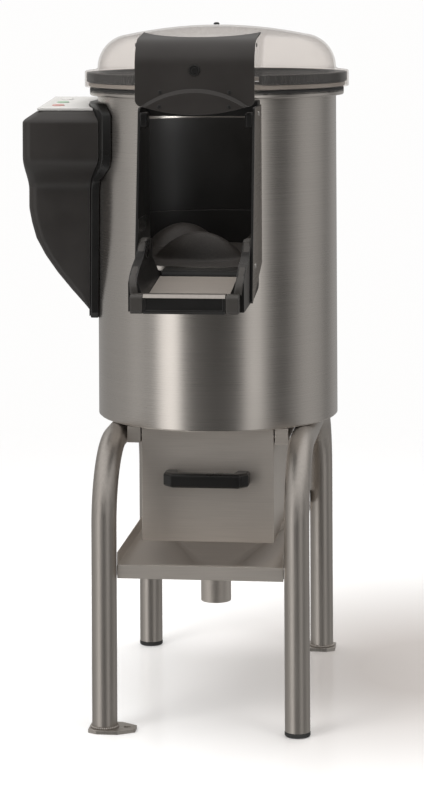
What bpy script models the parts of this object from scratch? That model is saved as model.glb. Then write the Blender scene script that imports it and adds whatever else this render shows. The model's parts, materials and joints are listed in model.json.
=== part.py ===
"""Floor-standing potato peeler with a clear lid, a front discharge door and a peel filter drawer.

Metres, +Z up. -Y is the front, where the door is, and the control housing is at -X. The door stands
open, the lid is shut and the drawer is in. Everything is drawn round the drum's axis, and the last step
moves it so that the origin is on the floor under the middle of the machine's box.
"""

import math

import bmesh
import bpy
from mathutils import Matrix, Vector

GAP = 0.0003            # clearance left between pieces that touch
SEGMENTS = 48           # around the drum and everything that touches it
DISC_SEGMENTS = 36

# Drum
DRUM_R = 0.200
DRUM_WALL = 0.002
DRUM_BOTTOM = 0.464
DRUM_TOP = 1.004
DRUM_IN = DRUM_R - DRUM_WALL

# Door opening
OPEN_HALF = 0.0895
OPEN_BOTTOM = 0.7265
OPEN_TOP = 0.968

# Peeling chamber
CHAMBER_FLOOR = 0.700
LINER_SEAM = 0.784
LINER_TOP = 0.946
LINER_WALL = 0.003
DISC_R = 0.176
DISC_CROWN = 0.742      # the disc is highest at its middle
DISC_FALL = 0.018       # and this much lower at its rim
WAVE_HEIGHT = 0.036
WAVE_AT = 0.095         # radius at which the three waves stand
WAVE_START = -102.0     # degrees, direction of the first one

# Lid
LID_RIM_R = 0.2215
LID_BOTTOM = 1.0095
LID_RIM_TOP = 1.036
LID_WALL = 0.003
LID_SHOULDER = 0.056
LID_CROWN_R = 0.144
LID_BASE = 1.0405
LID_APEX = 1.112
HOOD_HALF = 0.095
COVER_HALF = 0.094
COVER_FRONT = -0.305
COVER_BEND = 0.045
LID_PIVOT = (0.0, 0.240, 1.002)

# Door
CHEEK_IN = 0.0905
CHEEK_WALL = 0.002
CHEEK_FRONT = -0.333    # at the bottom; the front edge leans back towards the top
CHEEK_FRONT_TOP = -0.285
CHEEK_TOP = 0.986
DOOR_PIVOT = (0.0, -0.205, 0.706)
DOOR_HALF = 0.0885
CHUTE_HALF = 0.063
CHUTE_SLOPE = 0.0997    # radians down towards the front while the door is open
SILL_R = 0.0425
SILL_TOP = 0.7255

# Stand
TUBE_R = 0.020
TUBE_WALL = 0.0015
LEG_X = 0.153
LEG_Y = 0.262
LEG_TOP = 0.442
LEG_BEND = 0.120
TRAY_Z = 0.2605
OUTLET_Y = -0.045

# Drawer
DRAWER_HALF = 0.1075
DRAWER_FRONT = -0.155
DRAWER_BACK = 0.150
DRAWER_BOTTOM = 0.277
DRAWER_TOP = 0.449
SHEET = 0.0015

# Drive
PULLEY_Z = 0.610
PULLEY_R = 0.090
MOTOR_Y = 0.135
MOTOR_PULLEY_R = 0.020
MOTOR_R = 0.052
BELT_WIDTH = 0.012
SHAFT_R = 0.0125
DUCT_R = 0.033
DUCT_Y = -0.147
DUCT_EXIT_Y = -0.098

# Control housing
HOUSING_OUT = -0.3135
HOUSING_TOP = 0.971
BASE_R = 0.2140

# The machine's box (x, y), from the housing, the lid's rim, the door's bar and the rear foot plate
HANDLE_FRONT = -0.4465
REAR = LEG_Y + 0.026
MACHINE_LOW = (HOUSING_OUT, HANDLE_FRONT)
MACHINE_HIGH = (LID_RIM_R, REAR)


# ---------------------------------------------------------------- helpers

def clear_scene():
    for obj in list(bpy.data.objects):
        bpy.data.objects.remove(obj, do_unlink=True)


def make_material(name, colour, roughness, metallic=0.0, alpha=1.0):
    material = bpy.data.materials.new(name)
    material.use_nodes = True
    shader = material.node_tree.nodes["Principled BSDF"]
    shader.inputs["Base Color"].default_value = (*colour, 1.0)
    shader.inputs["Roughness"].default_value = roughness
    shader.inputs["Metallic"].default_value = metallic
    shader.inputs["Alpha"].default_value = alpha
    return material


def add_object(name, bm, material, origin=(0.0, 0.0, 0.0), parent=None, angle=35.0):
    """The bmesh, drawn in world coordinates, as an object whose origin is at the given point."""
    bmesh.ops.recalc_face_normals(bm, faces=bm.faces[:])
    bmesh.ops.translate(bm, vec=-Vector(origin), verts=bm.verts[:])
    mesh = bpy.data.meshes.new(name)
    bm.to_mesh(mesh)
    bm.free()
    mesh.shade_smooth()
    mesh.set_sharp_from_angle(angle=math.radians(angle))
    obj = bpy.data.objects.new(name, mesh)
    if material is not None:
        mesh.materials.append(material)
    bpy.context.scene.collection.objects.link(obj)
    obj.location = origin
    if parent is not None:
        obj.parent = parent
        obj.location = Vector(origin) - parent.location
    return obj


def add_pivot(name, location):
    empty = bpy.data.objects.new(name, None)
    bpy.context.scene.collection.objects.link(empty)
    empty.location = location
    empty.empty_display_size = 0.03
    return empty


def combine(obj, bm, operation, name):
    """Adds a Boolean with the bmesh as its other operand, kept as a hidden wire object."""
    other = add_object(name, bm, None)
    other.hide_render = True
    other.display_type = "WIRE"
    modifier = obj.modifiers.new(name, "BOOLEAN")
    modifier.operation = operation
    modifier.solver = "EXACT"
    modifier.object = other
    return obj


def cut(obj, bm, name):
    return combine(obj, bm, "DIFFERENCE", name)


def join(obj, bm, name):
    return combine(obj, bm, "UNION", name)


def keep_common(obj, bm, name):
    return combine(obj, bm, "INTERSECT", name)


def box(low, high):
    bm = bmesh.new()
    size = [b - a for a, b in zip(low, high)]
    middle = [(a + b) / 2 for a, b in zip(low, high)]
    bmesh.ops.create_cube(bm, size=1.0)
    bmesh.ops.scale(bm, vec=size, verts=bm.verts[:])
    bmesh.ops.translate(bm, vec=middle, verts=bm.verts[:])
    return bm


def bevelled_box(low, high, width, segments=2):
    bm = box(low, high)
    bmesh.ops.bevel(bm, geom=bm.edges[:], offset=width, segments=segments, profile=0.5, affect="EDGES")
    return bm


def lathe(profile, segments=SEGMENTS, centre=(0.0, 0.0)):
    """A closed profile of (radius, height) points turned about the vertical line through centre."""
    bm = bmesh.new()
    rings = []
    for radius, height in profile:
        if radius < 1e-9:
            pole = bm.verts.new((centre[0], centre[1], height))
            rings.append([pole] * segments)
            continue
        ring = []
        for step in range(segments):
            angle = 2 * math.pi * step / segments
            x = centre[0] + radius * math.cos(angle)
            y = centre[1] + radius * math.sin(angle)
            ring.append(bm.verts.new((x, y, height)))
        rings.append(ring)
    for first, second in zip(rings, rings[1:] + rings[:1]):
        for step in range(segments):
            after = (step + 1) % segments
            corners = [first[step], first[after], second[after], second[step]]
            face = list(dict.fromkeys(corners))
            if len(face) > 2:
                bm.faces.new(face)
    return bm


def cylinder(radius, low, high, segments=24, centre=(0.0, 0.0)):
    return lathe([(0, low), (radius, low), (radius, high), (0, high)], segments, centre)


def tube(outer, inner, low, high, segments=SEGMENTS, centre=(0.0, 0.0)):
    return lathe([(inner, low), (outer, low), (outer, high), (inner, high)], segments, centre)


def turned(bm, axis, place):
    """Turns a shape drawn about +Z onto +X or +Y, then moves it."""
    spin = {
        "X": Matrix.Rotation(math.radians(90), 4, "Y"),
        "Y": Matrix.Rotation(math.radians(-90), 4, "X"),
    }
    if axis in spin:
        bmesh.ops.transform(bm, matrix=spin[axis], verts=bm.verts[:])
    bmesh.ops.translate(bm, vec=place, verts=bm.verts[:])
    return bm


def prism(outline, axis, low, high):
    """An outline of 2D points extruded along an axis: (y, z) along X, (x, z) along Y, (x, y) along Z."""
    place = {
        "X": lambda a, b, c: (c, a, b),
        "Y": lambda a, b, c: (a, c, b),
        "Z": lambda a, b, c: (a, b, c),
    }[axis]
    bm = bmesh.new()
    near = [bm.verts.new(place(a, b, low)) for a, b in outline]
    far = [bm.verts.new(place(a, b, high)) for a, b in outline]
    bm.faces.new(near)
    bm.faces.new(far)
    for first in range(len(outline)):
        second = (first + 1) % len(outline)
        bm.faces.new([near[first], near[second], far[second], far[first]])
    return bm


def arc(centre, radius, start, end, steps):
    """Points on a circle from one angle to another, both in degrees and both included."""
    points = []
    for step in range(steps + 1):
        angle = math.radians(start + (end - start) * step / steps)
        points.append((centre[0] + radius * math.cos(angle), centre[1] + radius * math.sin(angle)))
    return points


def sweep(path, radius, segments=16, hole=0.0):
    """A round bar along a path, or a tube with open ends if it has a hole."""
    bm = bmesh.new()
    side = None
    outer, inner = [], []
    for index, point in enumerate(path):
        before = Vector(path[max(index - 1, 0)])
        after = Vector(path[min(index + 1, len(path) - 1)])
        ahead = (after - before).normalized()
        if side is None:
            side = ahead.orthogonal().normalized()
        side = (side - ahead * side.dot(ahead)).normalized()
        up = ahead.cross(side)
        for rings, size in ((outer, radius), (inner, hole)):
            if size <= 0:
                continue
            ring = []
            for step in range(segments):
                angle = 2 * math.pi * step / segments
                place = Vector(point) + size * (math.cos(angle) * side + math.sin(angle) * up)
                ring.append(bm.verts.new(place))
            rings.append(ring)
    for rings in (outer, inner):
        for first, second in zip(rings, rings[1:]):
            for step in range(segments):
                after = (step + 1) % segments
                bm.faces.new([first[step], first[after], second[after], second[step]])
    if hole > 0:
        for end in (0, -1):
            for step in range(segments):
                after = (step + 1) % segments
                bm.faces.new([outer[end][step], outer[end][after], inner[end][after], inner[end][step]])
    else:
        bm.faces.new(outer[0])
        bm.faces.new(outer[-1])
    return bm


def bend_path(corners, radius, steps=5):
    """A polyline whose inner corners are replaced with arcs of one radius."""
    points = [Vector(corners[0])]
    for before, corner, after in zip(corners, corners[1:], corners[2:]):
        corner = Vector(corner)
        back = (Vector(before) - corner).normalized()
        on = (Vector(after) - corner).normalized()
        half = back.angle(on) / 2
        reach = radius / math.tan(half)
        centre = corner + (back + on).normalized() * radius / math.sin(half)
        start = corner + back * reach - centre
        end = corner + on * reach - centre
        turn = start.angle(end)
        for step in range(steps + 1):
            share = step / steps
            mixed = start * math.sin((1 - share) * turn) + end * math.sin(share * turn)
            points.append(centre + mixed / math.sin(turn))
    points.append(Vector(corners[-1]))
    return points


# ---------------------------------------------------------------- stand and drawer

def make_leg_frame(name, x, steel):
    corners = [
        (x, -LEG_Y, 0.0075), (x, -LEG_Y, LEG_TOP), (x, LEG_Y, LEG_TOP), (x, LEG_Y, 0.0075),
    ]
    path = bend_path(corners, LEG_BEND)
    add_object(name, sweep(path, TUBE_R, 16, TUBE_R - TUBE_WALL), steel)


def make_foot_plate(name, x, y, steel):
    """A welded floor plate whose ear points in to the middle and has a fixing hole."""
    inward = -math.copysign(1, x)
    outline = [
        (x - inward * 0.024, y - 0.018), (x - inward * 0.010, y - 0.026), (x + inward * 0.024, y - 0.026),
        (x + inward * 0.050, y - 0.010), (x + inward * 0.050, y + 0.010), (x + inward * 0.024, y + 0.026),
        (x - inward * 0.010, y + 0.026), (x - inward * 0.024, y + 0.018),
    ]
    plate = add_object(name, prism(outline, "Z", 0.0, 0.006), steel, angle=20)
    hole = cylinder(0.0055, -0.01, 0.02, 16, (x + inward * 0.036, y))
    cut(plate, hole, name + "_hole")


def make_rubber_foot(name, x, y, rubber):
    inside = TUBE_R - TUBE_WALL - GAP * 2
    profile = [(0, 0), (TUBE_R - 0.001, 0), (TUBE_R + 0.0004, 0.0015), (TUBE_R + 0.0004, 0.0070),
               (inside, 0.0070), (inside, 0.030), (0, 0.030)]
    add_object(name, lathe(profile, 16, (x, y)), rubber)


def make_drain_tray(steel):
    """A folded sheet: side lips up, end skirts down, and a funnel from a rectangle to a round outlet."""
    half, end = LEG_X - TUBE_R - 0.0006, LEG_Y
    mouth_x, mouth_y0, mouth_y1 = 0.110, -0.245, 0.050
    bm = bmesh.new()

    def ring(points):
        return [bm.verts.new(point) for point in points]

    rim = ring([(-half, -end, TRAY_Z), (half, -end, TRAY_Z), (half, end, TRAY_Z), (-half, end, TRAY_Z)])
    mouth = ring([(-mouth_x, mouth_y0, TRAY_Z - 0.002), (mouth_x, mouth_y0, TRAY_Z - 0.002),
                  (mouth_x, mouth_y1, TRAY_Z - 0.002), (-mouth_x, mouth_y1, TRAY_Z - 0.002)])
    count = 16
    outlet = []
    for step in range(count):
        angle = math.radians(225) + 2 * math.pi * step / count
        outlet.append(bm.verts.new((0.024 * math.cos(angle), OUTLET_Y + 0.024 * math.sin(angle), 0.200)))
    for side in range(4):
        after = (side + 1) % 4
        bm.faces.new([rim[side], rim[after], mouth[after], mouth[side]])
        quarter = count // 4
        arc_points = [outlet[(side * quarter + step) % count] for step in range(quarter + 1)]
        middle = quarter // 2
        for step in range(middle):
            bm.faces.new([mouth[side], arc_points[step + 1], arc_points[step]])
        bm.faces.new([mouth[side], mouth[after], arc_points[middle]])
        for step in range(middle, quarter):
            bm.faces.new([mouth[after], arc_points[step + 1], arc_points[step]])
    folds = {0: -0.020, 1: 0.021, 2: -0.020, 3: 0.021}
    for side, rise in folds.items():
        first, second = rim[side], rim[(side + 1) % 4]
        along = (second.co - first.co).normalized() * 0.0005
        low = bm.verts.new(first.co + along + Vector((0, 0, rise)))
        high = bm.verts.new(second.co - along + Vector((0, 0, rise)))
        bm.faces.new([first, second, high, low])
    tray = add_object("drain_tray", bm, steel, angle=20)
    solidify = tray.modifiers.new("thickness", "SOLIDIFY")
    solidify.thickness = SHEET
    solidify.offset = -1
    solidify.use_even_offset = True


def make_drain_pipe(steel):
    add_object("drain_pipe", tube(0.025, 0.0232, 0.157, 0.1975, 24, (0, OUTLET_Y)), steel)


def make_drawer_rail(name, side, steel):
    inner, outer = DRAWER_HALF + 0.0020, DRAWER_HALF + 0.0205
    top, wall = DRUM_BOTTOM - 0.0022, 0.002
    outline = [
        (inner, 0.4360), (outer, 0.4360), (outer, top - wall), (outer + 0.003, top - wall),
        (outer + 0.003, top), (outer - wall, top), (outer - wall, 0.4360 + wall), (inner, 0.4360 + wall),
    ]
    mirrored = [(side * x, z) for x, z in outline]
    add_object(name, prism(mirrored, "Y", DRAWER_FRONT, DRAWER_BACK + 0.005), steel, angle=20)


def make_drawer(steel, strainer_steel, plastic, pivot):
    half, lip = DRAWER_HALF, DRAWER_HALF + 0.0160
    outline = [
        (-half, DRAWER_BOTTOM), (half, DRAWER_BOTTOM), (half, DRAWER_TOP - SHEET), (lip - SHEET, DRAWER_TOP - SHEET),
        (lip - SHEET, 0.4388), (lip, 0.4388), (lip, DRAWER_TOP), (-lip, DRAWER_TOP), (-lip, 0.4388),
        (-lip + SHEET, 0.4388), (-lip + SHEET, DRAWER_TOP - SHEET), (-half, DRAWER_TOP - SHEET),
    ]
    tray = add_object("filter_drawer_box", prism(outline, "Y", DRAWER_FRONT, DRAWER_BACK), steel,
                      parent=pivot, angle=20)
    inside = (half - SHEET, DRAWER_FRONT + SHEET, DRAWER_BACK - SHEET)
    cut(tray, box((-inside[0], inside[1], DRAWER_BOTTOM + SHEET), (inside[0], inside[2], 0.5)), "drawer_inside")
    front_edge = box((-half, DRAWER_FRONT, DRAWER_TOP - SHEET), (half, DRAWER_FRONT + SHEET, DRUM_BOTTOM - 0.0035))
    join(tray, front_edge, "drawer_front_edge")
    ledge = 0.012
    cut(tray, box((-inside[0] + ledge, inside[1] + ledge, 0.2), (inside[0] - ledge, inside[2] - ledge, 0.3)),
        "drawer_outlet")

    low = DRAWER_BOTTOM + SHEET + GAP
    plate = add_object("strainer_plate", box((-inside[0] + GAP * 2, inside[1] + GAP * 2, low),
                                             (inside[0] - GAP * 2, inside[2] - GAP * 2, low + SHEET)),
                       strainer_steel, parent=pivot, angle=20)
    slots = bmesh.new()
    for column in range(4):
        for row in range(6):
            x = (column - 1.5) * 0.045
            y = DRAWER_FRONT + 0.035 + row * 0.047
            bmesh.ops.create_cube(slots, size=1.0, matrix=Matrix.Translation((x, y, low)) @
                                  Matrix.Diagonal((0.030, 0.006, 0.02, 1.0)))
    cut(plate, slots, "strainer_slots")

    handle_z, reach, across = 0.382, 0.038, 0.0690
    front = DRAWER_FRONT - GAP
    outline = [
        (-across, front), (-across, front - reach + 0.012), (-across + 0.012, front - reach),
        (across - 0.012, front - reach), (across, front - reach + 0.012), (across, front),
        (across - 0.022, front), (across - 0.026, front - reach + 0.016),
        (-across + 0.026, front - reach + 0.016), (-across + 0.022, front),
    ]
    bm = prism(outline, "Z", handle_z - 0.0115, handle_z + 0.0115)
    bmesh.ops.bevel(bm, geom=bm.edges[:], offset=0.002, segments=1, affect="EDGES")
    add_object("drawer_handle", bm, plastic, parent=pivot)


# ---------------------------------------------------------------- drum, chamber and door frame

def opening(half, low, high):
    return box((-half, -0.30, low), (half, -0.10, high))


def make_drum(steel, black, rubber, plate_steel):
    shell = add_object("drum_shell", tube(DRUM_R, DRUM_IN, DRUM_BOTTOM, DRUM_TOP), steel)
    cut(shell, opening(OPEN_HALF, OPEN_BOTTOM, OPEN_TOP), "shell_opening")

    inner = DRUM_IN - GAP
    floor = add_object("drum_floor", tube(inner, 0.0325, CHAMBER_FLOOR, CHAMBER_FLOOR + 0.0025), plate_steel)
    cut(floor, cylinder(DUCT_R + GAP, 0.6, 0.8, 24, (0, DUCT_Y)), "floor_outlet")

    plate = cylinder(inner, DRUM_BOTTOM - 0.0017, DRUM_BOTTOM + 0.0013, SEGMENTS)
    base = add_object("base_plate", plate, plate_steel)
    cut(base, cylinder(DUCT_R + GAP * 2, 0.4, 0.5, 24, (0, DUCT_EXIT_Y)), "base_outlet")

    liner = add_object("chamber_liner", tube(inner, inner - LINER_WALL, LINER_SEAM + GAP, LINER_TOP), black)
    cut(liner, opening(OPEN_HALF, 0.7, 1.0), "liner_opening")
    low = CHAMBER_FLOOR + 0.0025 + GAP
    ring = add_object("lower_liner_ring", tube(inner, inner - LINER_WALL - 0.0015, low, LINER_SEAM), black)
    cut(ring, opening(OPEN_HALF, OPEN_BOTTOM, 1.0), "ring_opening")

    profile = [
        (DRUM_R + GAP * 2, 0.9950), (0.2125, 0.9950), (0.2130, 0.9970), (0.2130, 1.0065), (0.2110, 1.0085),
        (DRUM_IN - 0.0015, 1.0085), (DRUM_IN - 0.0015, DRUM_TOP + GAP), (DRUM_R + GAP * 2, DRUM_TOP + GAP),
    ]
    add_object("drum_rim_gasket", lathe(profile), rubber)


def make_cheek(name, side, steel):
    """A flat side plate of the door opening: square at the drum, round at its free top corner."""
    rear = -0.1790
    outline = [(rear, 0.733), (rear, CHEEK_TOP)]
    outline += arc((CHEEK_FRONT_TOP + 0.010, CHEEK_TOP - 0.010), 0.010, 90, 170, 4)
    outline += [(CHEEK_FRONT, 0.689), (CHEEK_FRONT + 0.004, 0.6855)]
    low, high = sorted((side * CHEEK_IN, side * (CHEEK_IN + CHEEK_WALL)))
    add_object(name, prism(outline, "X", low, high), steel, angle=20)


def make_catch(name, side, plastic):
    low, high = sorted((side * (CHEEK_IN - GAP), side * (CHEEK_IN - 0.0135)))
    bm = bevelled_box((low, -0.2880, 0.9540), (high, -0.2600, 0.9780), 0.0025, 1)
    add_object(name, bm, plastic)


def make_top_frame(plastic):
    """The black strip across the top of the opening, shaped to the drum's outside."""
    half = CHEEK_IN - GAP
    frame = add_object("top_frame", box((-half, -0.2150, OPEN_TOP + 0.001), (half, -0.1700, 0.9935)), plastic)
    cut(frame, cylinder(DRUM_R + GAP * 2, 0.9, 1.1, SEGMENTS), "top_frame_seat")


def make_door_sill(plastic):
    """A bar at the opening's lower edge, flat on top and round in front. The door's floor swings round it."""
    _, y, z = DOOR_PIVOT
    rise = math.degrees(math.asin((SILL_TOP - 0.003 - z) / SILL_R))
    outline = arc((y, z), SILL_R, 164, 180 - rise, 3)
    outline += [(outline[-1][0] + 0.004, SILL_TOP), (-0.190, SILL_TOP), (-0.190, z - 0.016),
                (y - 0.018, z - 0.016)]
    sill = add_object("door_sill", prism(outline, "X", -CHUTE_HALF + 0.0015, CHUTE_HALF - 0.0015), plastic)
    cut(sill, cylinder(DRUM_R + GAP * 2, 0.6, 0.8, SEGMENTS), "sill_seat")
    cut(sill, turned(cylinder(0.0043, -0.1, 0.1, 24), "X", DOOR_PIVOT), "sill_bore")


# ---------------------------------------------------------------- discharge door

def make_door(black, rim_grey, steel, pin_steel, pivot):
    """The scoop, drawn as a row of U-shaped sections from its pivot to its handle bar."""
    _, py, pz = DOOR_PIVOT
    top_line = [(-0.0405, 0.0480), (-0.0425, 0.0640), (-0.0500, 0.0720), (-0.0900, 0.0755), (-0.1070, 0.0725),
                (-0.1200, 0.0610), (-0.1400, 0.0510), (-0.1750, 0.0420), (-0.2000, 0.0320), (-0.2150, 0.0210)]
    bottom_line = [(-0.2150, -0.0230), (-0.0600, -0.0200)]
    outline = top_line + bottom_line + arc((0, 0), 0.0130, 270, 440, 8) + [(-0.0385, 0.0205)]
    outline = [(py + y, pz + z) for y, z in outline]
    scoop = add_object("door_scoop", prism(outline, "X", -DOOR_HALF, DOOR_HALF), black,
                       origin=DOOR_PIVOT, parent=pivot)

    rise = math.tan(CHUTE_SLOPE)
    floor = [(y, 0.0155 + y * rise) for y in (-0.300, 0.060)]
    hollow = bmesh.new()
    sections = []
    top_z = 0.120
    for y, floor_z in floor:
        section = [(-CHUTE_HALF, floor_z), (CHUTE_HALF, floor_z), (CHUTE_HALF + 0.0125, floor_z + 0.030),
                   (CHUTE_HALF + 0.0125, top_z), (-CHUTE_HALF - 0.0125, top_z),
                   (-CHUTE_HALF - 0.0125, floor_z + 0.030)]
        sections.append([hollow.verts.new((x, py + y, pz + z)) for x, z in section])
    for side in range(6):
        after = (side + 1) % 6
        hollow.faces.new([sections[0][side], sections[0][after], sections[1][after], sections[1][side]])
    hollow.faces.new(sections[0])
    hollow.faces.new(sections[1])
    cut(scoop, hollow, "scoop_hollow")
    clear = cylinder(SILL_R + 0.0015, -CHUTE_HALF - GAP, CHUTE_HALF + GAP, 32)
    cut(scoop, turned(clear, "X", DOOR_PIVOT), "scoop_sill_clearance")
    cut(scoop, turned(cylinder(0.0045, -0.1, 0.1, 24), "X", DOOR_PIVOT), "scoop_bore")

    near, far = -0.0520, -0.2155
    plate = []
    for y in (near, far):
        plate.append((py + y, pz + 0.0155 + y * rise + GAP))
    outline = [plate[0], plate[1], (plate[1][0], plate[1][1] + SHEET), (plate[0][0], plate[0][1] + SHEET)]
    half = CHUTE_HALF - 0.0005
    add_object("door_chute_plate", prism(outline, "X", -half, half), steel, origin=DOOR_PIVOT, parent=pivot,
               angle=20)

    bar_y, bar_z = HANDLE_FRONT + 0.0125, 0.697
    front, back = bar_y - 0.0125, py - 0.2155 - GAP
    outline = [(back, bar_z - 0.0145), (front + 0.004, bar_z - 0.0145), (front, bar_z - 0.0105),
               (front, bar_z + 0.0105), (front + 0.004, bar_z + 0.0145), (back, bar_z + 0.0145)]
    bar = add_object("door_handle_bar", prism(outline, "X", -0.0825, 0.0825), rim_grey,
                     origin=DOOR_PIVOT, parent=pivot)
    for side in (-1, 1):
        low, high = sorted((side * 0.0745, side * 0.1))
        bore = turned(cylinder(0.0055, low, high, 12), "X", (0, bar_y, bar_z))
        cut(bar, bore, "bar_recess_%d" % (side + 1))
    add_object("door_hinge_pin", turned(cylinder(0.0040, -DOOR_HALF, DOOR_HALF, 24), "X", DOOR_PIVOT), pin_steel)


# ---------------------------------------------------------------- disc and drive

def wave_height(x, y):
    """The disc's face: a low crown and three smooth waves that throw the load about."""
    wave = 0.0
    for turn in (WAVE_START, WAVE_START + 120, WAVE_START + 240):
        cosine, sine = math.cos(math.radians(turn)), math.sin(math.radians(turn))
        outward, sideways = x * cosine + y * sine, y * cosine - x * sine
        wave = max(wave, 1 - (sideways / 0.075) ** 2 - ((outward - WAVE_AT) / 0.050) ** 2)
    return DISC_CROWN - DISC_FALL * (x * x + y * y) / DISC_R ** 2 + WAVE_HEIGHT * wave


def make_disc(abrasive, steel, pivot):
    bm = bmesh.new()
    rings = [[bm.verts.new((0, 0, DISC_CROWN))] * DISC_SEGMENTS]
    outline = [(radius, None) for radius in (0.025, 0.045, 0.065, 0.085, 0.105, 0.125, 0.145, 0.164, DISC_R)]
    outline += [(DISC_R, 0.713), (DISC_R - 0.006, 0.713), (DISC_R - 0.006, 0.7205), (0.030, 0.7205),
                (0.030, 0.710), (SHAFT_R + 0.0004, 0.710), (SHAFT_R + 0.0004, 0.7250)]
    for radius, height in outline:
        ring = []
        for step in range(DISC_SEGMENTS):
            angle = 2 * math.pi * step / DISC_SEGMENTS
            x, y = radius * math.cos(angle), radius * math.sin(angle)
            ring.append(bm.verts.new((x, y, wave_height(x, y) if height is None else height)))
        rings.append(ring)
    rings.append([bm.verts.new((0, 0, 0.7250))] * DISC_SEGMENTS)
    for first, second in zip(rings, rings[1:]):
        for step in range(DISC_SEGMENTS):
            after = (step + 1) % DISC_SEGMENTS
            face = list(dict.fromkeys([first[step], first[after], second[after], second[step]]))
            if len(face) > 2:
                bm.faces.new(face)
    add_object("abrasive_disc", bm, abrasive, parent=pivot, angle=50)
    shaft = lathe([(0, 0.560), (SHAFT_R, 0.560), (SHAFT_R, 0.7245), (0, 0.7245)], 24)
    add_object("drive_shaft", shaft, steel, parent=pivot)


def make_bearings(cast, steel, rubber):
    housing = [(0.0215, 0.632), (0.0300, 0.632), (0.0320, 0.640), (0.0320, CHAMBER_FLOOR - 0.010),
               (0.0550, CHAMBER_FLOOR - 0.010), (0.0550, CHAMBER_FLOOR - GAP), (0.0320, CHAMBER_FLOOR - GAP),
               (0.0320, 0.706), (0.0215, 0.706)]
    add_object("bearing_housing", lathe(housing, 24), cast)
    for name, low in (("lower_bearing", 0.634), ("upper_bearing", 0.680)):
        add_object(name, tube(0.0212, SHAFT_R + GAP, low, low + 0.012, 24), steel)
    add_object("shaft_seal", tube(0.0210, SHAFT_R + GAP, 0.6940, 0.7020, 24), rubber)


def groove(radius, depth, low, high, hole):
    """A flat-belt pulley's outline with two low flanges."""
    rim = radius + 0.003
    inner = max(radius - depth, hole + 0.006)
    profile = [(hole, low), (rim, low), (rim, low + 0.0015), (radius, low + 0.0025), (radius, high - 0.0025),
               (rim, high - 0.0015), (rim, high)]
    if inner < radius - 0.01:
        middle = (low + high) / 2
        profile += [(radius - 0.008, high), (radius - 0.012, middle + 0.002), (hole + 0.012, middle + 0.002),
                    (hole + 0.010, high + 0.0003)]
    profile += [(hole, high + 0.0003)]
    return profile


def make_drive(cast, rubber, motor_paint, steel, disc_pivot, motor_pivot):
    low, high = PULLEY_Z - 0.009, PULLEY_Z + 0.009
    add_object("large_pulley", lathe(groove(PULLEY_R, 0.02, low, high, SHAFT_R + GAP), 32), cast,
               parent=disc_pivot)
    centre = (0, MOTOR_Y)
    add_object("motor_pulley", lathe(groove(MOTOR_PULLEY_R, 0, low, high, 0.0073), 20, centre), cast,
               origin=(0, MOTOR_Y, 0), parent=motor_pivot)
    shaft = lathe([(0, 0.5905), (0.007, 0.5905), (0.007, high + 0.002), (0, high + 0.002)], 24, centre)
    add_object("motor_shaft", shaft, steel, origin=(0, MOTOR_Y, 0), parent=motor_pivot)

    body = [(0, 0.472), (0.030, 0.472), (MOTOR_R, 0.480), (MOTOR_R, 0.572), (0.040, 0.580), (0.020, 0.582),
            (0.020, 0.5900), (0, 0.5900)]
    add_object("motor_body", lathe(body, 32, centre), motor_paint)

    plate = add_object("motor_bracket", box((-0.065, 0.062, 0.5835), (0.065, 0.175, 0.5870)), steel)
    cut(plate, cylinder(0.0205, 0.5, 0.6, 24, centre), "motor_bracket_hole")
    cut(plate, tube(0.3, DRUM_IN - 0.001, 0.5, 0.6), "motor_bracket_edge")
    join(plate, box((-0.065, 0.0620, DRUM_BOTTOM + 0.0020), (0.065, 0.0650, 0.5860)), "motor_bracket_leg")
    cut(plate, cylinder(MOTOR_R + 0.001, 0.4, 0.5825, 32, centre), "motor_bracket_relief")

    thick = 0.002
    half_width = BELT_WIDTH / 2
    tilt = math.asin((PULLEY_R - MOTOR_PULLEY_R) / MOTOR_Y)

    def loop(extra):
        first = math.degrees(tilt)
        points = arc((0, 0), PULLEY_R + extra, 180 - first, 360 + first, 28)
        points += arc(centre, MOTOR_PULLEY_R + extra, first, 180 - first, 8)
        return points

    bm = bmesh.new()
    outer, inner = loop(GAP * 2 + thick), loop(GAP * 2)
    count = len(outer)
    rows = []
    for points, z in ((outer, PULLEY_Z - half_width), (outer, PULLEY_Z + half_width),
                      (inner, PULLEY_Z + half_width), (inner, PULLEY_Z - half_width)):
        rows.append([bm.verts.new((x, y, z)) for x, y in points])
    for first, second in zip(rows, rows[1:] + rows[:1]):
        for step in range(count):
            after = (step + 1) % count
            bm.faces.new([first[step], first[after], second[after], second[step]])
    add_object("drive_belt", bm, rubber)


def make_waste_duct(plastic):
    """The pipe that takes water and peel from the chamber floor down into the filter drawer."""
    corners = [(0, DUCT_Y, CHAMBER_FLOOR - 0.001), (0, DUCT_Y, 0.600), (0, DUCT_EXIT_Y, 0.520),
               (0, DUCT_EXIT_Y, 0.4535)]
    add_object("waste_duct", sweep(bend_path(corners, 0.050, 2), DUCT_R, 16, DUCT_R - 0.003), plastic)



# ---------------------------------------------------------------- lid

def dome_profile(inset):
    """The dome from its base to its apex, moved in by the wall where wanted."""
    points = arc((LID_CROWN_R, LID_BASE), LID_SHOULDER - inset, 0, 84, 5)
    radius, height = points[-1]
    apex = LID_APEX - inset
    for share in (0.5,):
        points.append((radius * share, apex - (apex - height) * share * share))
    points.append((0, apex))
    return points


def hood_profile(inset):
    """The hood's side view (y, z): upright front, round shoulder, gently rising top."""
    front = COVER_FRONT + LID_WALL + GAP * 2 + inset
    centre = (COVER_FRONT + COVER_BEND, 1.0508)
    radius = centre[0] - front
    points = arc(centre, radius, 180, 96.7, 5)
    top = 1.1000 - inset
    points += [(-0.200, top), (-0.090, top), (-0.090, LID_BOTTOM - inset), (front, LID_BOTTOM - inset)]
    return points


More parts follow.
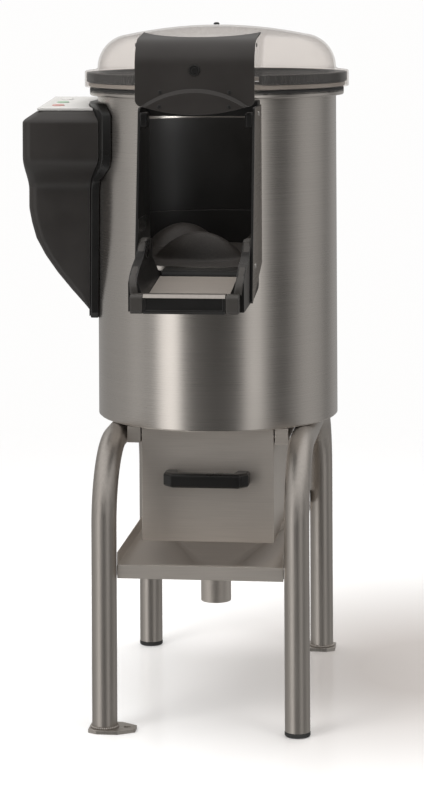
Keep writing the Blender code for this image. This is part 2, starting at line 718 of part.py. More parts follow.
def make_lid(clear, ribbed, black, pad_grey, pivot):
    rim = [(0, LID_BOTTOM), (LID_RIM_R, LID_BOTTOM), (LID_RIM_R, LID_RIM_TOP - 0.002),
           (LID_RIM_R - 0.002, LID_RIM_TOP), (0.2065, LID_RIM_TOP + 0.001), (0.2020, LID_BASE - 0.0005)]
    dome = add_object("lid_dome", lathe(rim + dome_profile(0)), clear, origin=LID_PIVOT, parent=pivot)
    join(dome, prism(hood_profile(0), "X", -HOOD_HALF, HOOD_HALF), "hood_outside")
    inner_rim = LID_RIM_R - 0.0025
    inside = [(0, LID_BOTTOM - 0.01), (inner_rim, LID_BOTTOM - 0.01), (inner_rim, LID_RIM_TOP - 0.0025),
              (0.1985, LID_RIM_TOP - 0.0025), (0.1975, LID_BASE - 0.001)]
    cut(dome, lathe(inside + dome_profile(LID_WALL)), "dome_inside")
    half = HOOD_HALF - LID_WALL
    cut(dome, prism(hood_profile(LID_WALL), "X", -half, half), "hood_inside")

    gasket_r = inner_rim - GAP * 2
    ring = add_object("lid_gasket", tube(gasket_r, 0.2010, LID_BOTTOM + 0.0005, LID_RIM_TOP - 0.0032),
                      ribbed, origin=LID_PIVOT, parent=pivot)
    cut(ring, box((-HOOD_HALF - 0.001, -0.3, 0.9), (HOOD_HALF + 0.001, 0, 1.1)), "gasket_gap")

    plug = lathe([(0, LID_APEX + GAP), (0.005, LID_APEX + GAP), (0.005, LID_APEX + 0.0025),
                  (0.003, LID_APEX + 0.0040), (0, LID_APEX + 0.0040)], 12)
    add_object("lid_top_plug", plug, black, origin=LID_PIVOT, parent=pivot)
    make_lid_cover(black, pad_grey, pivot)


def cover_bottom(x):
    """Height of the cover's lower edge: a shallow dip in the middle and a round corner at each end."""
    corner = 0.011
    flat = COVER_HALF - corner
    reach = min(abs(x), flat)
    height = 0.975 + 0.013 * (reach / flat) ** 2
    over = abs(x) - flat
    if over > 0:
        height += corner - math.sqrt(max(corner ** 2 - over ** 2, 0))
    return height


def pad_top(x):
    """Height of the grip pad's upper edge, an arc that meets the cover's lower corners."""
    radius, peak = 0.142, 1.0163
    return peak - radius + math.sqrt(radius ** 2 - x * x)


def make_lid_cover(black, pad_grey, pivot):
    columns = 20
    bend_z, end_angle = 1.0508, 96.7
    bm = bmesh.new()
    grid = []
    for column in range(columns + 1):
        x = COVER_HALF * math.sin(math.pi * (column / columns - 0.5))
        rear_y = -0.1564 - math.sqrt(0.1036 ** 2 - x * x)
        low = cover_bottom(x)
        points = [(COVER_FRONT, low), (COVER_FRONT, low + (bend_z - low) * 0.5)]
        points += arc((COVER_FRONT + COVER_BEND, bend_z), COVER_BEND, 180, end_angle, 6)
        last = points[-1]
        run = max(rear_y - last[0], 0.0012)
        points += [(last[0] + run * share, last[1] + run * share * 0.117) for share in (0.5, 1.0)]
        grid.append([bm.verts.new((x, y, z)) for y, z in points])
    for first, second in zip(grid, grid[1:]):
        for row in range(len(first) - 1):
            bm.faces.new([first[row], first[row + 1], second[row + 1], second[row]])
    bmesh.ops.recalc_face_normals(bm, faces=bm.faces[:])
    cover = add_object("lid_front_cover", bm, black, origin=LID_PIVOT, parent=pivot)
    if cover.data.polygons[0].normal.y > 0:
        cover.data.flip_normals()
    solidify = cover.modifiers.new("thickness", "SOLIDIFY")
    solidify.thickness = LID_WALL
    solidify.offset = -1

    front = COVER_FRONT - GAP
    thick, bevel, half = 0.0045, 0.0060, 0.0855
    bm = bmesh.new()
    rows = []
    for column in range(17):
        x = half * math.sin(math.pi * (column / 16 - 0.5))
        low, high = cover_bottom(x), max(pad_top(x), cover_bottom(x) + 0.0015)
        shelf = min(bevel, (high - low) * 0.6)
        rows.append([bm.verts.new(place) for place in (
            (x, front, low), (x, front - thick * min(1, (high - low) / 0.008), low + 0.0005),
            (x, front - thick * min(1, (high - low) / 0.008), high - shelf), (x, front, high))])
    for first, second in zip(rows, rows[1:]):
        for corner in range(4):
            after = (corner + 1) % 4
            bm.faces.new([first[corner], first[after], second[after], second[corner]])
    bm.faces.new(rows[0])
    bm.faces.new(rows[-1])
    add_object("lid_grip_pad", bm, pad_grey, origin=LID_PIVOT, parent=pivot)

    plug = lathe([(0, 0), (0.0080, 0), (0.0080, 0.0018), (0.0045, 0.0018), (0.0045, 0.0008), (0, 0.0008)], 16)
    place = (0, COVER_FRONT - GAP, 1.045)
    bmesh.ops.transform(plug, matrix=Matrix.Rotation(math.radians(90), 4, "X"), verts=plug.verts[:])
    bmesh.ops.translate(plug, vec=place, verts=plug.verts[:])
    add_object("lid_cover_plug", plug, black, origin=LID_PIVOT, parent=pivot)


def make_lid_hinge(steel, pin_steel, pivot):
    _, y, z = LID_PIVOT
    bracket = add_object("lid_hinge_bracket", box((-0.040, 0.190, 0.930), (0.040, 0.2060, 0.9930)), steel)
    cut(bracket, cylinder(DRUM_R + GAP * 2, 0.9, 1.1, SEGMENTS), "bracket_seat")
    for side in (-1, 1):
        low, high = sorted((side * 0.0225, side * 0.040))
        ear = [(0.2040, 0.940), (0.2040, 0.9928), (y - 0.0095, 0.9935)]
        ear += arc((y, z), 0.0100, 190, -20, 10)
        ear += [(y + 0.006, 0.985)]
        join(bracket, prism(ear, "X", low, high), "bracket_ear_%d" % (side + 1))
    cut(bracket, turned(cylinder(0.0053, -0.06, 0.06, 24), "X", LID_PIVOT), "bracket_bore")

    leaf = [(0.2200, 1.0140), (0.2200, 1.0345), (0.2230, 1.0345), (0.2400, 1.0160)]
    leaf += arc((y, z), 0.0100, 60, -170, 10)
    leaf += [(0.2310, 1.0080)]
    leaf_obj = add_object("lid_hinge_leaf", prism(leaf, "X", -0.0215, 0.0215), steel,
                          origin=LID_PIVOT, parent=pivot)
    cut(leaf_obj, turned(cylinder(0.0054, -0.06, 0.06, 24), "X", LID_PIVOT), "leaf_bore")
    cut(leaf_obj, cylinder(LID_RIM_R + GAP * 3, 0.9, 1.1, SEGMENTS), "leaf_seat")
    add_object("lid_hinge_pin", turned(cylinder(0.0050, -0.0425, 0.0425, 24), "X", LID_PIVOT), pin_steel)


# ---------------------------------------------------------------- control housing and services

def housing_outline(grow, top, low):
    """Half-symmetric front view (y, z): a wide block on top, an S-curve, then a narrow tapering tail."""
    wide, narrow = 0.110 + grow, 0.054 + grow
    right = [(wide - 0.022, top), (wide - 0.004, top - 0.013), (wide, top - 0.020)]
    right += [(wide, 0.894), (wide - 0.006, 0.878), (wide - 0.024, 0.864), (narrow + 0.008, 0.853),
              (narrow, 0.838), (narrow - 0.004, 0.760), (narrow - 0.014, low + 0.010), (narrow - 0.022, low)]
    left = [(-y, z) for y, z in reversed(right)]
    return right + left


def housing_side(inset):
    """Side view (x, z) of the cover: upright outside, then a long curve in to the tail's tip."""
    shoulder = HOUSING_TOP - inset - 0.013
    points = [(HOUSING_OUT + 0.004, shoulder), (HOUSING_OUT, shoulder - 0.007), (HOUSING_OUT, 0.800),
              (-0.309, 0.782), (-0.302, 0.7555), (-0.287, 0.726), (-0.2675, 0.697), (-0.242, 0.665),
              (-0.215, 0.639), (-0.198, 0.624)]
    inner = [(x + inset, z + inset * 0.6) for x, z in points]
    top = HOUSING_TOP - inset
    return [(HOUSING_OUT + 0.022 + inset * 0.5, top)] + inner + [(-0.150, 0.624 + inset * 0.6), (-0.150, top)]


def make_housing(plastic, panel_grey, red, green, board_green, pivots):
    base = add_object("housing_base", prism(housing_outline(0.010, 0.984, 0.6225), "X", -0.23, -0.10), plastic)
    keep_common(base, tube(BASE_R, DRUM_R + GAP * 2, 0.6, 1.0), "base_curve")
    join(base, box((-0.2080, -0.020, 0.9050), (-0.2230, 0.020, 0.9090)), "base_shelf")

    cover = add_object("housing_cover", prism(housing_outline(0, HOUSING_TOP, 0.6245), "X", -0.32, -0.10), plastic)
    keep_common(cover, prism(housing_side(0), "Y", -0.2, 0.2), "cover_side")
    cut(cover, cylinder(BASE_R + GAP * 2, 0.5, 1.1, SEGMENTS), "cover_seat")
    hollow_shape = prism(housing_outline(-0.0035, HOUSING_TOP - 0.0035, 0.630), "X", -0.33, -0.05)
    inner = add_object("cover_hollow", hollow_shape, None)
    inner.hide_render = True
    inner.display_type = "WIRE"
    keep_common(inner, prism(housing_side(0.0035), "Y", -0.2, 0.2), "hollow_side")
    hollow = cover.modifiers.new("cover_hollow", "BOOLEAN")
    hollow.operation = "DIFFERENCE"
    hollow.solver = "EXACT"
    hollow.object = inner

    low, rise = HOUSING_TOP + GAP, 0.0160
    near, far = -0.086, 0.086
    side = [(near, low), (far, low), (far, low + rise), (near, low + 0.004)]
    panel = add_object("control_panel", prism(side, "X", HOUSING_OUT + 0.023, -0.190), panel_grey, angle=20)
    cut(panel, cylinder(BASE_R + 0.001, 0.9, 1.0, SEGMENTS), "panel_seat")

    slope = math.atan2(rise - 0.004, far - near)
    keys = (("stop_key", red, -0.045), ("start_key", green, 0.000), ("timer_key", panel_grey, 0.045))
    for name, colour, y in keys:
        surface = low + 0.004 + (y - near) * math.tan(slope)
        tilt = Matrix.Rotation(slope, 4, "X")
        pocket = lathe([(0, -0.0045), (0.0110, -0.0045), (0.0110, 0.01), (0, 0.01)], 20)
        key = lathe([(0, -0.0025), (0.0105, -0.0025), (0.0105, 0.0005), (0.0095, 0.0012), (0, 0.0012)], 20)
        for shape in (pocket, key):
            bmesh.ops.transform(shape, matrix=tilt, verts=shape.verts[:])
            bmesh.ops.translate(shape, vec=(-0.262, y, surface), verts=shape.verts[:])
        cut(panel, pocket, name + "_pocket")
        add_object(name, key, colour, origin=pivots[name].location, parent=pivots[name])

    add_object("control_board", box((-0.2940, -0.070, 0.9105), (-0.2290, 0.070, 0.9280)), board_green)


def make_services(plastic, cable_black):
    corners = [(-0.060, DRUM_R + GAP, 0.520), (-0.060, 0.248, 0.520), (-0.060, 0.248, 0.300)]
    add_object("power_cable", sweep(bend_path(corners, 0.025, 4), 0.0040, 10), cable_black)

    valve = add_object("water_valve", box((0.045, 0.1800, 0.905), (0.085, 0.2350, 0.945)), plastic)
    join(valve, turned(cylinder(0.0130, 0, 0.030, 20), "Y", (0.065, 0.232, 0.925)), "valve_inlet")
    cut(valve, cylinder(DRUM_R + GAP * 2, 0.8, 1.0, SEGMENTS), "valve_seat")


# ---------------------------------------------------------------- assembly

def move_to_origin(low, high):
    """Put everything under one empty, so that the box between these corners is centred over the origin."""
    top_level = [obj for obj in bpy.data.objects if obj.parent is None]
    origin = add_pivot("drum_axis", (-(low[0] + high[0]) / 2, -(low[1] + high[1]) / 2, 0))
    for obj in top_level:
        obj.parent = origin


def main():
    clear_scene()
    steel = make_material("brushed steel", (0.56, 0.53, 0.50), 0.32, 1.0)
    tube_steel = make_material("polished tube", (0.58, 0.56, 0.53), 0.25, 1.0)
    sheet_steel = make_material("folded sheet", (0.48, 0.46, 0.43), 0.40, 1.0)
    pin_steel = make_material("bright steel", (0.65, 0.64, 0.62), 0.25, 1.0)
    black = make_material("black plastic", (0.025, 0.024, 0.023), 0.40)
    liner = make_material("liner black", (0.015, 0.014, 0.014), 0.45)
    pad_grey = make_material("cover plastic", (0.040, 0.037, 0.036), 0.45)
    rim_grey = make_material("rim plastic", (0.060, 0.058, 0.055), 0.50)
    rubber = make_material("rubber", (0.020, 0.020, 0.020), 0.75)
    clear = make_material("clear lid", (0.80, 0.80, 0.78), 0.10, 0.0, 0.35)
    panel_grey = make_material("panel grey", (0.55, 0.54, 0.52), 0.50)
    red = make_material("key red", (0.45, 0.05, 0.04), 0.50)
    green = make_material("key green", (0.05, 0.30, 0.08), 0.50)
    board = make_material("board green", (0.03, 0.20, 0.08), 0.50)
    cast = make_material("cast aluminium", (0.50, 0.50, 0.50), 0.50, 1.0)
    paint = make_material("motor paint", (0.10, 0.14, 0.20), 0.45)

    drawer_pivot = add_pivot("drawer_slide_origin", (0, 0, 0))
    disc_pivot = add_pivot("disc_axis", (0, 0, 0))
    motor_pivot = add_pivot("motor_axis", (0, MOTOR_Y, 0))
    door_pivot = add_pivot("door_axis", DOOR_PIVOT)
    lid_pivot = add_pivot("lid_axis", LID_PIVOT)
    keys = {name: add_pivot(name + "_origin", (0, 0, 0)) for name in ("start_key", "stop_key", "timer_key")}

    make_leg_frame("left_leg_frame", -LEG_X, tube_steel)
    make_leg_frame("right_leg_frame", LEG_X, tube_steel)
    make_foot_plate("foot_plate_front_left", -LEG_X, -LEG_Y, tube_steel)
    make_foot_plate("foot_plate_rear_right", LEG_X, LEG_Y, tube_steel)
    make_rubber_foot("rubber_foot_front_right", LEG_X, -LEG_Y, rubber)
    make_rubber_foot("rubber_foot_rear_left", -LEG_X, LEG_Y, rubber)
    make_drain_tray(sheet_steel)
    make_drain_pipe(sheet_steel)
    make_drawer_rail("drawer_rail_left", -1, sheet_steel)
    make_drawer_rail("drawer_rail_right", 1, sheet_steel)
    make_drawer(sheet_steel, sheet_steel, black, drawer_pivot)

    make_drum(steel, liner, rubber, sheet_steel)
    make_cheek("left_cheek", -1, steel)
    make_cheek("right_cheek", 1, steel)
    make_catch("left_catch", -1, black)
    make_catch("right_catch", 1, black)
    make_top_frame(black)
    make_door_sill(black)
    make_door(black, rim_grey, sheet_steel, pin_steel, door_pivot)

    make_disc(liner, pin_steel, disc_pivot)
    make_bearings(cast, pin_steel, rubber)
    make_drive(cast, rubber, paint, pin_steel, disc_pivot, motor_pivot)
    make_waste_duct(black)

    make_lid(clear, rubber, black, pad_grey, lid_pivot)
    make_lid_hinge(pin_steel, pin_steel, lid_pivot)
    make_housing(black, panel_grey, red, green, board, keys)
    make_services(black, rubber)
    move_to_origin(MACHINE_LOW, MACHINE_HIGH)


main()
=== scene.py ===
"""Looks of the floor-standing potato peeler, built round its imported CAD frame."""

import json
import math

import bmesh
import bpy
from mathutils import Matrix, Vector


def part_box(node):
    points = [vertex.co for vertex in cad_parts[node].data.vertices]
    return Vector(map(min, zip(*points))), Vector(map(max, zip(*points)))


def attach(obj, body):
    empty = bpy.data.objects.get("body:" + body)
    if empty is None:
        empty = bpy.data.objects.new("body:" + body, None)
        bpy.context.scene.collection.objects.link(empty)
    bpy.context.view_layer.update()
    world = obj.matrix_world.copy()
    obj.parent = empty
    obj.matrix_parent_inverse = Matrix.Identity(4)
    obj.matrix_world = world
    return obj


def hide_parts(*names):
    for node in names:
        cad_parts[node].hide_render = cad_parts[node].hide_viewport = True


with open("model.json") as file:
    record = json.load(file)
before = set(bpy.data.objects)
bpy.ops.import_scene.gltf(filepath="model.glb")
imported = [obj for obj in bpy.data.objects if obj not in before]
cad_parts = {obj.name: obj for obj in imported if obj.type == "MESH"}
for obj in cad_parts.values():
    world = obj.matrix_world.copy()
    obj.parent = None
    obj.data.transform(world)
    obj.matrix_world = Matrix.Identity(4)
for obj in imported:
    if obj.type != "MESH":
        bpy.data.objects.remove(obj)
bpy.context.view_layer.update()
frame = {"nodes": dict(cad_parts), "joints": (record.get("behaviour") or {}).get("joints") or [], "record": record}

NODES = frame["nodes"]
ROUND = 160             # steps round the drum and the lid


DRUM_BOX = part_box("drum_shell")
AXIS = Vector(((DRUM_BOX[0].x + DRUM_BOX[1].x) / 2, (DRUM_BOX[0].y + DRUM_BOX[1].y) / 2, 0))


def node_box(node):
    """A CAD node's corners, seen from the drum's axis. Every place in this script is."""
    low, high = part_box(node)
    return low - AXIS, high - AXIS


def middle(node):
    low, high = node_box(node)
    return (low + high) / 2


DRUM_LOW, DRUM_HIGH = node_box("drum_shell")
DRUM_R = DRUM_HIGH.x
DRUM_IN = DRUM_R - 0.002


# ---------------------------------------------------------------- materials

def shader_of(name):
    material = bpy.data.materials.new(name)
    material.use_nodes = True
    return material, material.node_tree, material.node_tree.nodes["Principled BSDF"]


def stretched_noise(tree, stretch, scale, detail=4.0, rough=0.6):
    """Noise in object space, drawn out along an axis by a small stretch factor on it."""
    coords = tree.nodes.new("ShaderNodeTexCoord")
    mapping = tree.nodes.new("ShaderNodeMapping")
    mapping.inputs["Scale"].default_value = stretch
    noise = tree.nodes.new("ShaderNodeTexNoise")
    noise.inputs["Scale"].default_value = scale
    noise.inputs["Detail"].default_value = detail
    noise.inputs["Roughness"].default_value = rough
    tree.links.new(coords.outputs["Object"], mapping.inputs["Vector"])
    tree.links.new(mapping.outputs["Vector"], noise.inputs["Vector"])
    return noise.outputs["Fac"]


def remap(tree, value, low, high, start=0.3, end=0.7):
    node = tree.nodes.new("ShaderNodeMapRange")
    node.inputs["From Min"].default_value = start
    node.inputs["From Max"].default_value = end
    node.inputs["To Min"].default_value = low
    node.inputs["To Max"].default_value = high
    tree.links.new(value, node.inputs["Value"])
    return node.outputs["Result"]


def mix_colours(tree, factor, first, second):
    node = tree.nodes.new("ShaderNodeMix")
    node.data_type = "RGBA"
    node.inputs["A"].default_value = (*first, 1.0)
    node.inputs["B"].default_value = (*second, 1.0)
    tree.links.new(factor, node.inputs["Factor"])
    return node.outputs["Result"]


def add_bump(tree, shader, height, strength, distance):
    bump = tree.nodes.new("ShaderNodeBump")
    bump.inputs["Strength"].default_value = strength
    bump.inputs["Distance"].default_value = distance
    tree.links.new(height, bump.inputs["Height"])
    tree.links.new(bump.outputs["Normal"], shader.inputs["Normal"])
    return bump


def edge_wear(tree, radius=0.0015):
    """Near 1 on sharp edges and 0 on flats, from the bevelled normal against the true one."""
    bevel = tree.nodes.new("ShaderNodeBevel")
    bevel.samples = 4
    bevel.inputs["Radius"].default_value = radius
    geometry = tree.nodes.new("ShaderNodeNewGeometry")
    dot = tree.nodes.new("ShaderNodeVectorMath")
    dot.operation = "DOT_PRODUCT"
    tree.links.new(bevel.outputs["Normal"], dot.inputs[0])
    tree.links.new(geometry.outputs["Normal"], dot.inputs[1])
    return remap(tree, dot.outputs["Value"], 1.0, 0.0, 0.90, 1.0)


def brushed_steel(name, colour, dark, roughness, stretch, scale=6.0, bump=0.05, spread=0.0):
    """Steel with long fine scratches: they vary its tone, its roughness and its normal."""
    material, tree, shader = shader_of(name)
    fine = stretched_noise(tree, stretch, scale)
    cloudy = stretched_noise(tree, (1, 1, 1), 7.0, 2.0)
    shader.inputs["Metallic"].default_value = 1.0
    tree.links.new(mix_colours(tree, remap(tree, fine, 0, 1), dark, colour), shader.inputs["Base Color"])
    grain = remap(tree, fine, roughness - 0.03, roughness + 0.05)
    smudge = remap(tree, cloudy, -0.02, 0.03)
    total = tree.nodes.new("ShaderNodeMath")
    tree.links.new(grain, total.inputs[0])
    tree.links.new(smudge, total.inputs[1])
    tree.links.new(total.outputs[0], shader.inputs["Roughness"])
    if spread:
        tangent = tree.nodes.new("ShaderNodeTangent")
        tangent.direction_type = "RADIAL"
        tangent.axis = "Z"
        shader.inputs["Anisotropic"].default_value = spread
        shader.inputs["Anisotropic Rotation"].default_value = 0.25
        tree.links.new(tangent.outputs[0], shader.inputs["Tangent"])
    add_bump(tree, shader, fine, bump, 0.0002)
    return material


def moulded_plastic(name, colour, roughness, grain=0.12, worn=(0.10, 0.098, 0.095)):
    """Black moulding with a fine spark-eroded grain and faintly lighter edges."""
    material, tree, shader = shader_of(name)
    pits = stretched_noise(tree, (1, 1, 1), 1400.0, 2.0)
    cloudy = stretched_noise(tree, (1, 1, 1), 12.0, 3.0)
    light = tuple(min(1.0, value * 1.25 + 0.002) for value in colour)
    base = mix_colours(tree, remap(tree, cloudy, 0, 1), colour, light)
    blend = tree.nodes.new("ShaderNodeMix")
    blend.data_type = "RGBA"
    blend.inputs["B"].default_value = (*worn, 1.0)
    wear = tree.nodes.new("ShaderNodeMath")
    wear.operation = "MULTIPLY"
    wear.inputs[1].default_value = 0.45
    tree.links.new(edge_wear(tree), wear.inputs[0])
    tree.links.new(wear.outputs[0], blend.inputs["Factor"])
    tree.links.new(base, blend.inputs["A"])
    tree.links.new(blend.outputs["Result"], shader.inputs["Base Color"])
    tree.links.new(remap(tree, cloudy, roughness - 0.05, roughness + 0.06), shader.inputs["Roughness"])
    shader.inputs["Specular IOR Level"].default_value = 0.4
    add_bump(tree, shader, pits, grain, 0.0003)
    return material


def rubber(name, colour=(0.018, 0.018, 0.018)):
    material, tree, shader = shader_of(name)
    pits = stretched_noise(tree, (1, 1, 1), 600.0, 3.0)
    dust = stretched_noise(tree, (1, 1, 1), 30.0, 4.0)
    light = tuple(value * 1.8 for value in colour)
    tree.links.new(mix_colours(tree, remap(tree, dust, 0, 1), colour, light), shader.inputs["Base Color"])
    tree.links.new(remap(tree, dust, 0.60, 0.80), shader.inputs["Roughness"])
    add_bump(tree, shader, pits, 0.2, 0.0003)
    return material


def clear_plastic(name, tint=(0.935, 0.918, 0.905), veil=0.035):
    """A smoky moulded lid: see-through face on, milky and shiny at grazing angles."""
    material = bpy.data.materials.new(name)
    material.use_nodes = True
    tree = material.node_tree
    tree.nodes.remove(tree.nodes["Principled BSDF"])
    output = tree.nodes["Material Output"]
    through = tree.nodes.new("ShaderNodeBsdfTransparent")
    through.inputs["Color"].default_value = (*tint, 1.0)
    milk = tree.nodes.new("ShaderNodeBsdfDiffuse")
    milk.inputs["Color"].default_value = (0.55, 0.54, 0.53, 1.0)
    shine = tree.nodes.new("ShaderNodeBsdfGlossy")
    shine.inputs["Color"].default_value = (0.95, 0.95, 0.95, 1.0)
    haze = stretched_noise(tree, (1, 1, 1), 9.0, 3.0)
    tree.links.new(remap(tree, haze, 0.04, 0.12), shine.inputs["Roughness"])
    first = tree.nodes.new("ShaderNodeMixShader")
    tree.links.new(remap(tree, haze, veil * 0.8, veil * 1.2), first.inputs[0])
    tree.links.new(through.outputs[0], first.inputs[1])
    tree.links.new(milk.outputs[0], first.inputs[2])
    facing = tree.nodes.new("ShaderNodeLayerWeight")
    facing.inputs["Blend"].default_value = 0.5
    second = tree.nodes.new("ShaderNodeMixShader")
    tree.links.new(remap(tree, facing.outputs["Facing"], 0.015, 0.30, 0.62, 1.0), second.inputs[0])
    tree.links.new(first.outputs[0], second.inputs[1])
    tree.links.new(shine.outputs[0], second.inputs[2])
    tree.links.new(second.outputs[0], output.inputs["Surface"])
    return material


def satin_panel(name, colour, roughness=0.45):
    material, tree, shader = shader_of(name)
    speck = stretched_noise(tree, (1, 1, 1), 900.0, 2.0)
    dark = tuple(value * 0.94 for value in colour)
    tree.links.new(mix_colours(tree, remap(tree, speck, 0, 1), dark, colour), shader.inputs["Base Color"])
    tree.links.new(remap(tree, speck, roughness - 0.04, roughness + 0.04), shader.inputs["Roughness"])
    add_bump(tree, shader, speck, 0.05, 0.0002)
    return material


def abrasive(name):
    """Dark grit bonded to the disc: coarse grains that glint a little."""
    material, tree, shader = shader_of(name)
    grit = stretched_noise(tree, (1, 1, 1), 420.0, 3.0)
    cloudy = stretched_noise(tree, (1, 1, 1), 20.0, 3.0)
    base = mix_colours(tree, remap(tree, grit, 0, 1), (0.012, 0.0105, 0.0095), (0.030, 0.026, 0.023))
    tree.links.new(base, shader.inputs["Base Color"])
    tree.links.new(remap(tree, cloudy, 0.38, 0.55), shader.inputs["Roughness"])
    add_bump(tree, shader, grit, 0.12, 0.0004)
    return material


# How far each axis is stretched for scratches along X, upright ones, and ones that run round the drum.
ALONG_X = (3.0, 260.0, 260.0)
ALONG_Z = (260.0, 260.0, 3.0)
ROUND_Z = (0.8, 0.8, 900.0)
EVENLY = (60, 60, 60)

# Colour, darker colour, roughness, scratches, their scale and depth, and how far highlights stretch upright.
STEELS = {
    "drum_steel": ((0.58, 0.545, 0.51), (0.50, 0.47, 0.44), 0.27, ROUND_Z, 5.0, 0.02, 0.7),
    "tube_steel": ((0.50, 0.465, 0.43), (0.42, 0.39, 0.36), 0.42, ALONG_Z, 1.2, 0.01),
    "sheet_steel": ((0.70, 0.65, 0.60), (0.62, 0.575, 0.53), 0.50, ALONG_X, 4.0, 0.02),
    "bright_steel": ((0.72, 0.71, 0.69), (0.60, 0.59, 0.57), 0.20, ALONG_X, 4.0, 0.02),
    "cast_aluminium": ((0.55, 0.55, 0.55), (0.45, 0.45, 0.45), 0.50, EVENLY, 6.0, 0.3),
}

# Colour, roughness, depth of the grain, and colour of worn edges.
PLASTICS = {
    "black_plastic": ((0.0060, 0.0056, 0.0053), 0.30, 0.08, (0.05, 0.049, 0.047)),
    "liner_black": ((0.010, 0.0095, 0.009), 0.34, 0.05, (0.03, 0.03, 0.03)),
    "cover_plastic": ((0.020, 0.0175, 0.016), 0.40, 0.10, (0.07, 0.068, 0.065)),
    "rim_plastic": ((0.034, 0.031, 0.028), 0.45),
}

PAINTS = {
    "panel_grey": (0.56, 0.55, 0.53),
    "key_red": (0.48, 0.24, 0.22),
    "key_green": (0.30, 0.42, 0.31),
    "board_green": (0.03, 0.20, 0.08),
    "motor_paint": (0.10, 0.14, 0.20),
}

MATERIALS = {
    "rubber_black": rubber("rubber_black"),
    "clear_lid": clear_plastic("clear_lid"),
    "grit": abrasive("grit"),
}
MATERIALS.update({name: brushed_steel(name, *values) for name, values in STEELS.items()})
MATERIALS.update({name: moulded_plastic(name, *values) for name, values in PLASTICS.items()})
MATERIALS.update({name: satin_panel(name, colour) for name, colour in PAINTS.items()})


def finish_cad_nodes():
    """Every CAD node takes the finish of its slot in the record."""
    slots = {row["node"]: row["material_slot"] for row in frame["record"]["subparts"]}
    for name, node in NODES.items():
        material = MATERIALS["grit" if name == "abrasive_disc" else slots[name]]
        node.data.materials.clear()
        node.data.materials.append(material)


# ---------------------------------------------------------------- mesh tools

def add_piece(name, bm, material, body, nodes=(), angle=32.0, bevel=0.0, steps=2):
    """The bmesh as a smooth-shaded piece that rides on a body and stands for the CAD nodes named."""
    bmesh.ops.recalc_face_normals(bm, faces=bm.faces[:])
    mesh = bpy.data.meshes.new(name)
    bm.to_mesh(mesh)
    bm.free()
    mesh.shade_smooth()
    mesh.set_sharp_from_angle(angle=math.radians(angle))
    piece = bpy.data.objects.new(name, mesh)
    piece.location = AXIS
    bpy.context.scene.collection.objects.link(piece)
    if material is not None:
        mesh.materials.append(MATERIALS[material])
    if bevel > 0:
        round_edges(piece, bevel, steps)
    if body:
        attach(piece, body)
    if nodes:
        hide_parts(*nodes)
    return piece


def round_edges(piece, width, steps=2):
    modifier = piece.modifiers.new("round", "BEVEL")
    modifier.width = width
    modifier.segments = steps
    modifier.limit_method = "ANGLE"
    modifier.angle_limit = math.radians(32)
    modifier.harden_normals = True
    modifier.use_clamp_overlap = True


def subtract(piece, bm, name, operation="DIFFERENCE"):
    """Cuts the bmesh out of a piece, or joins it on, before its edges are rounded."""
    bmesh.ops.recalc_face_normals(bm, faces=bm.faces[:])
    mesh = bpy.data.meshes.new(name)
    bm.to_mesh(mesh)
    bm.free()
    tool = bpy.data.objects.new(name, mesh)
    tool.location = AXIS
    bpy.context.scene.collection.objects.link(tool)
    modifier = piece.modifiers.new(name, "BOOLEAN")
    modifier.operation = operation
    modifier.solver = "EXACT"
    modifier.object = tool
    bake_modifiers(piece)
    bpy.data.objects.remove(tool)
    piece.data.set_sharp_from_angle(angle=math.radians(32))


def bake_modifiers(piece):
    """The piece's evaluated mesh becomes its own mesh."""
    depsgraph = bpy.context.evaluated_depsgraph_get()
    mesh = bpy.data.meshes.new_from_object(piece.evaluated_get(depsgraph))
    piece.modifiers.clear()
    piece.data = mesh


def box(low, high):
    bm = bmesh.new()
    size = [b - a for a, b in zip(low, high)]
    centre = [(a + b) / 2 for a, b in zip(low, high)]
    bmesh.ops.create_cube(bm, size=1.0)
    bmesh.ops.scale(bm, vec=size, verts=bm.verts[:])
    bmesh.ops.translate(bm, vec=centre, verts=bm.verts[:])
    return bm


def loft(bm, rings, closed=True, caps=False):
    """Faces between each ring of vertices and the next, and across both ends where caps are wanted."""
    for first, second in zip(rings, rings[1:]):
        for step in range(len(first) if closed else len(first) - 1):
            after = (step + 1) % len(first)
            corners = list(dict.fromkeys([first[step], first[after], second[after], second[step]]))
            if len(corners) > 2:
                bm.faces.new(corners)
    if caps:
        bm.faces.new(rings[0])
        bm.faces.new(rings[-1])


def lathe(profile, steps=ROUND, centre=(0.0, 0.0)):
    """A closed (radius, height) outline turned about a vertical line."""
    bm = bmesh.new()
    rings = []
    for radius, height in profile:
        if radius < 1e-6:
            rings.append([bm.verts.new((centre[0], centre[1], height))] * steps)
            continue
        ring = []
        for step in range(steps):
            angle = 2 * math.pi * step / steps
            ring.append(bm.verts.new((centre[0] + radius * math.cos(angle),
                                      centre[1] + radius * math.sin(angle), height)))
        rings.append(ring)
    loft(bm, rings + rings[:1])
    return bm


def arc(centre, radius, start, end, steps):
    points = []
    for step in range(steps + 1):
        angle = math.radians(start + (end - start) * step / steps)
        points.append((centre[0] + radius * math.cos(angle), centre[1] + radius * math.sin(angle)))
    return points


def prism(outline, axis, low, high):
    """(y, z) points along X, (x, z) points along Y, or (x, y) points along Z."""
    place = {"X": lambda a, b, c: (c, a, b),
             "Y": lambda a, b, c: (a, c, b),
             "Z": lambda a, b, c: (a, b, c)}[axis]
    bm = bmesh.new()
    near = [bm.verts.new(place(a, b, low)) for a, b in outline]
    far = [bm.verts.new(place(a, b, high)) for a, b in outline]
    bm.faces.new(near)
    bm.faces.new(far)
    for first in range(len(outline)):
        second = (first + 1) % len(outline)
        bm.faces.new([near[first], near[second], far[second], far[first]])
    return bm


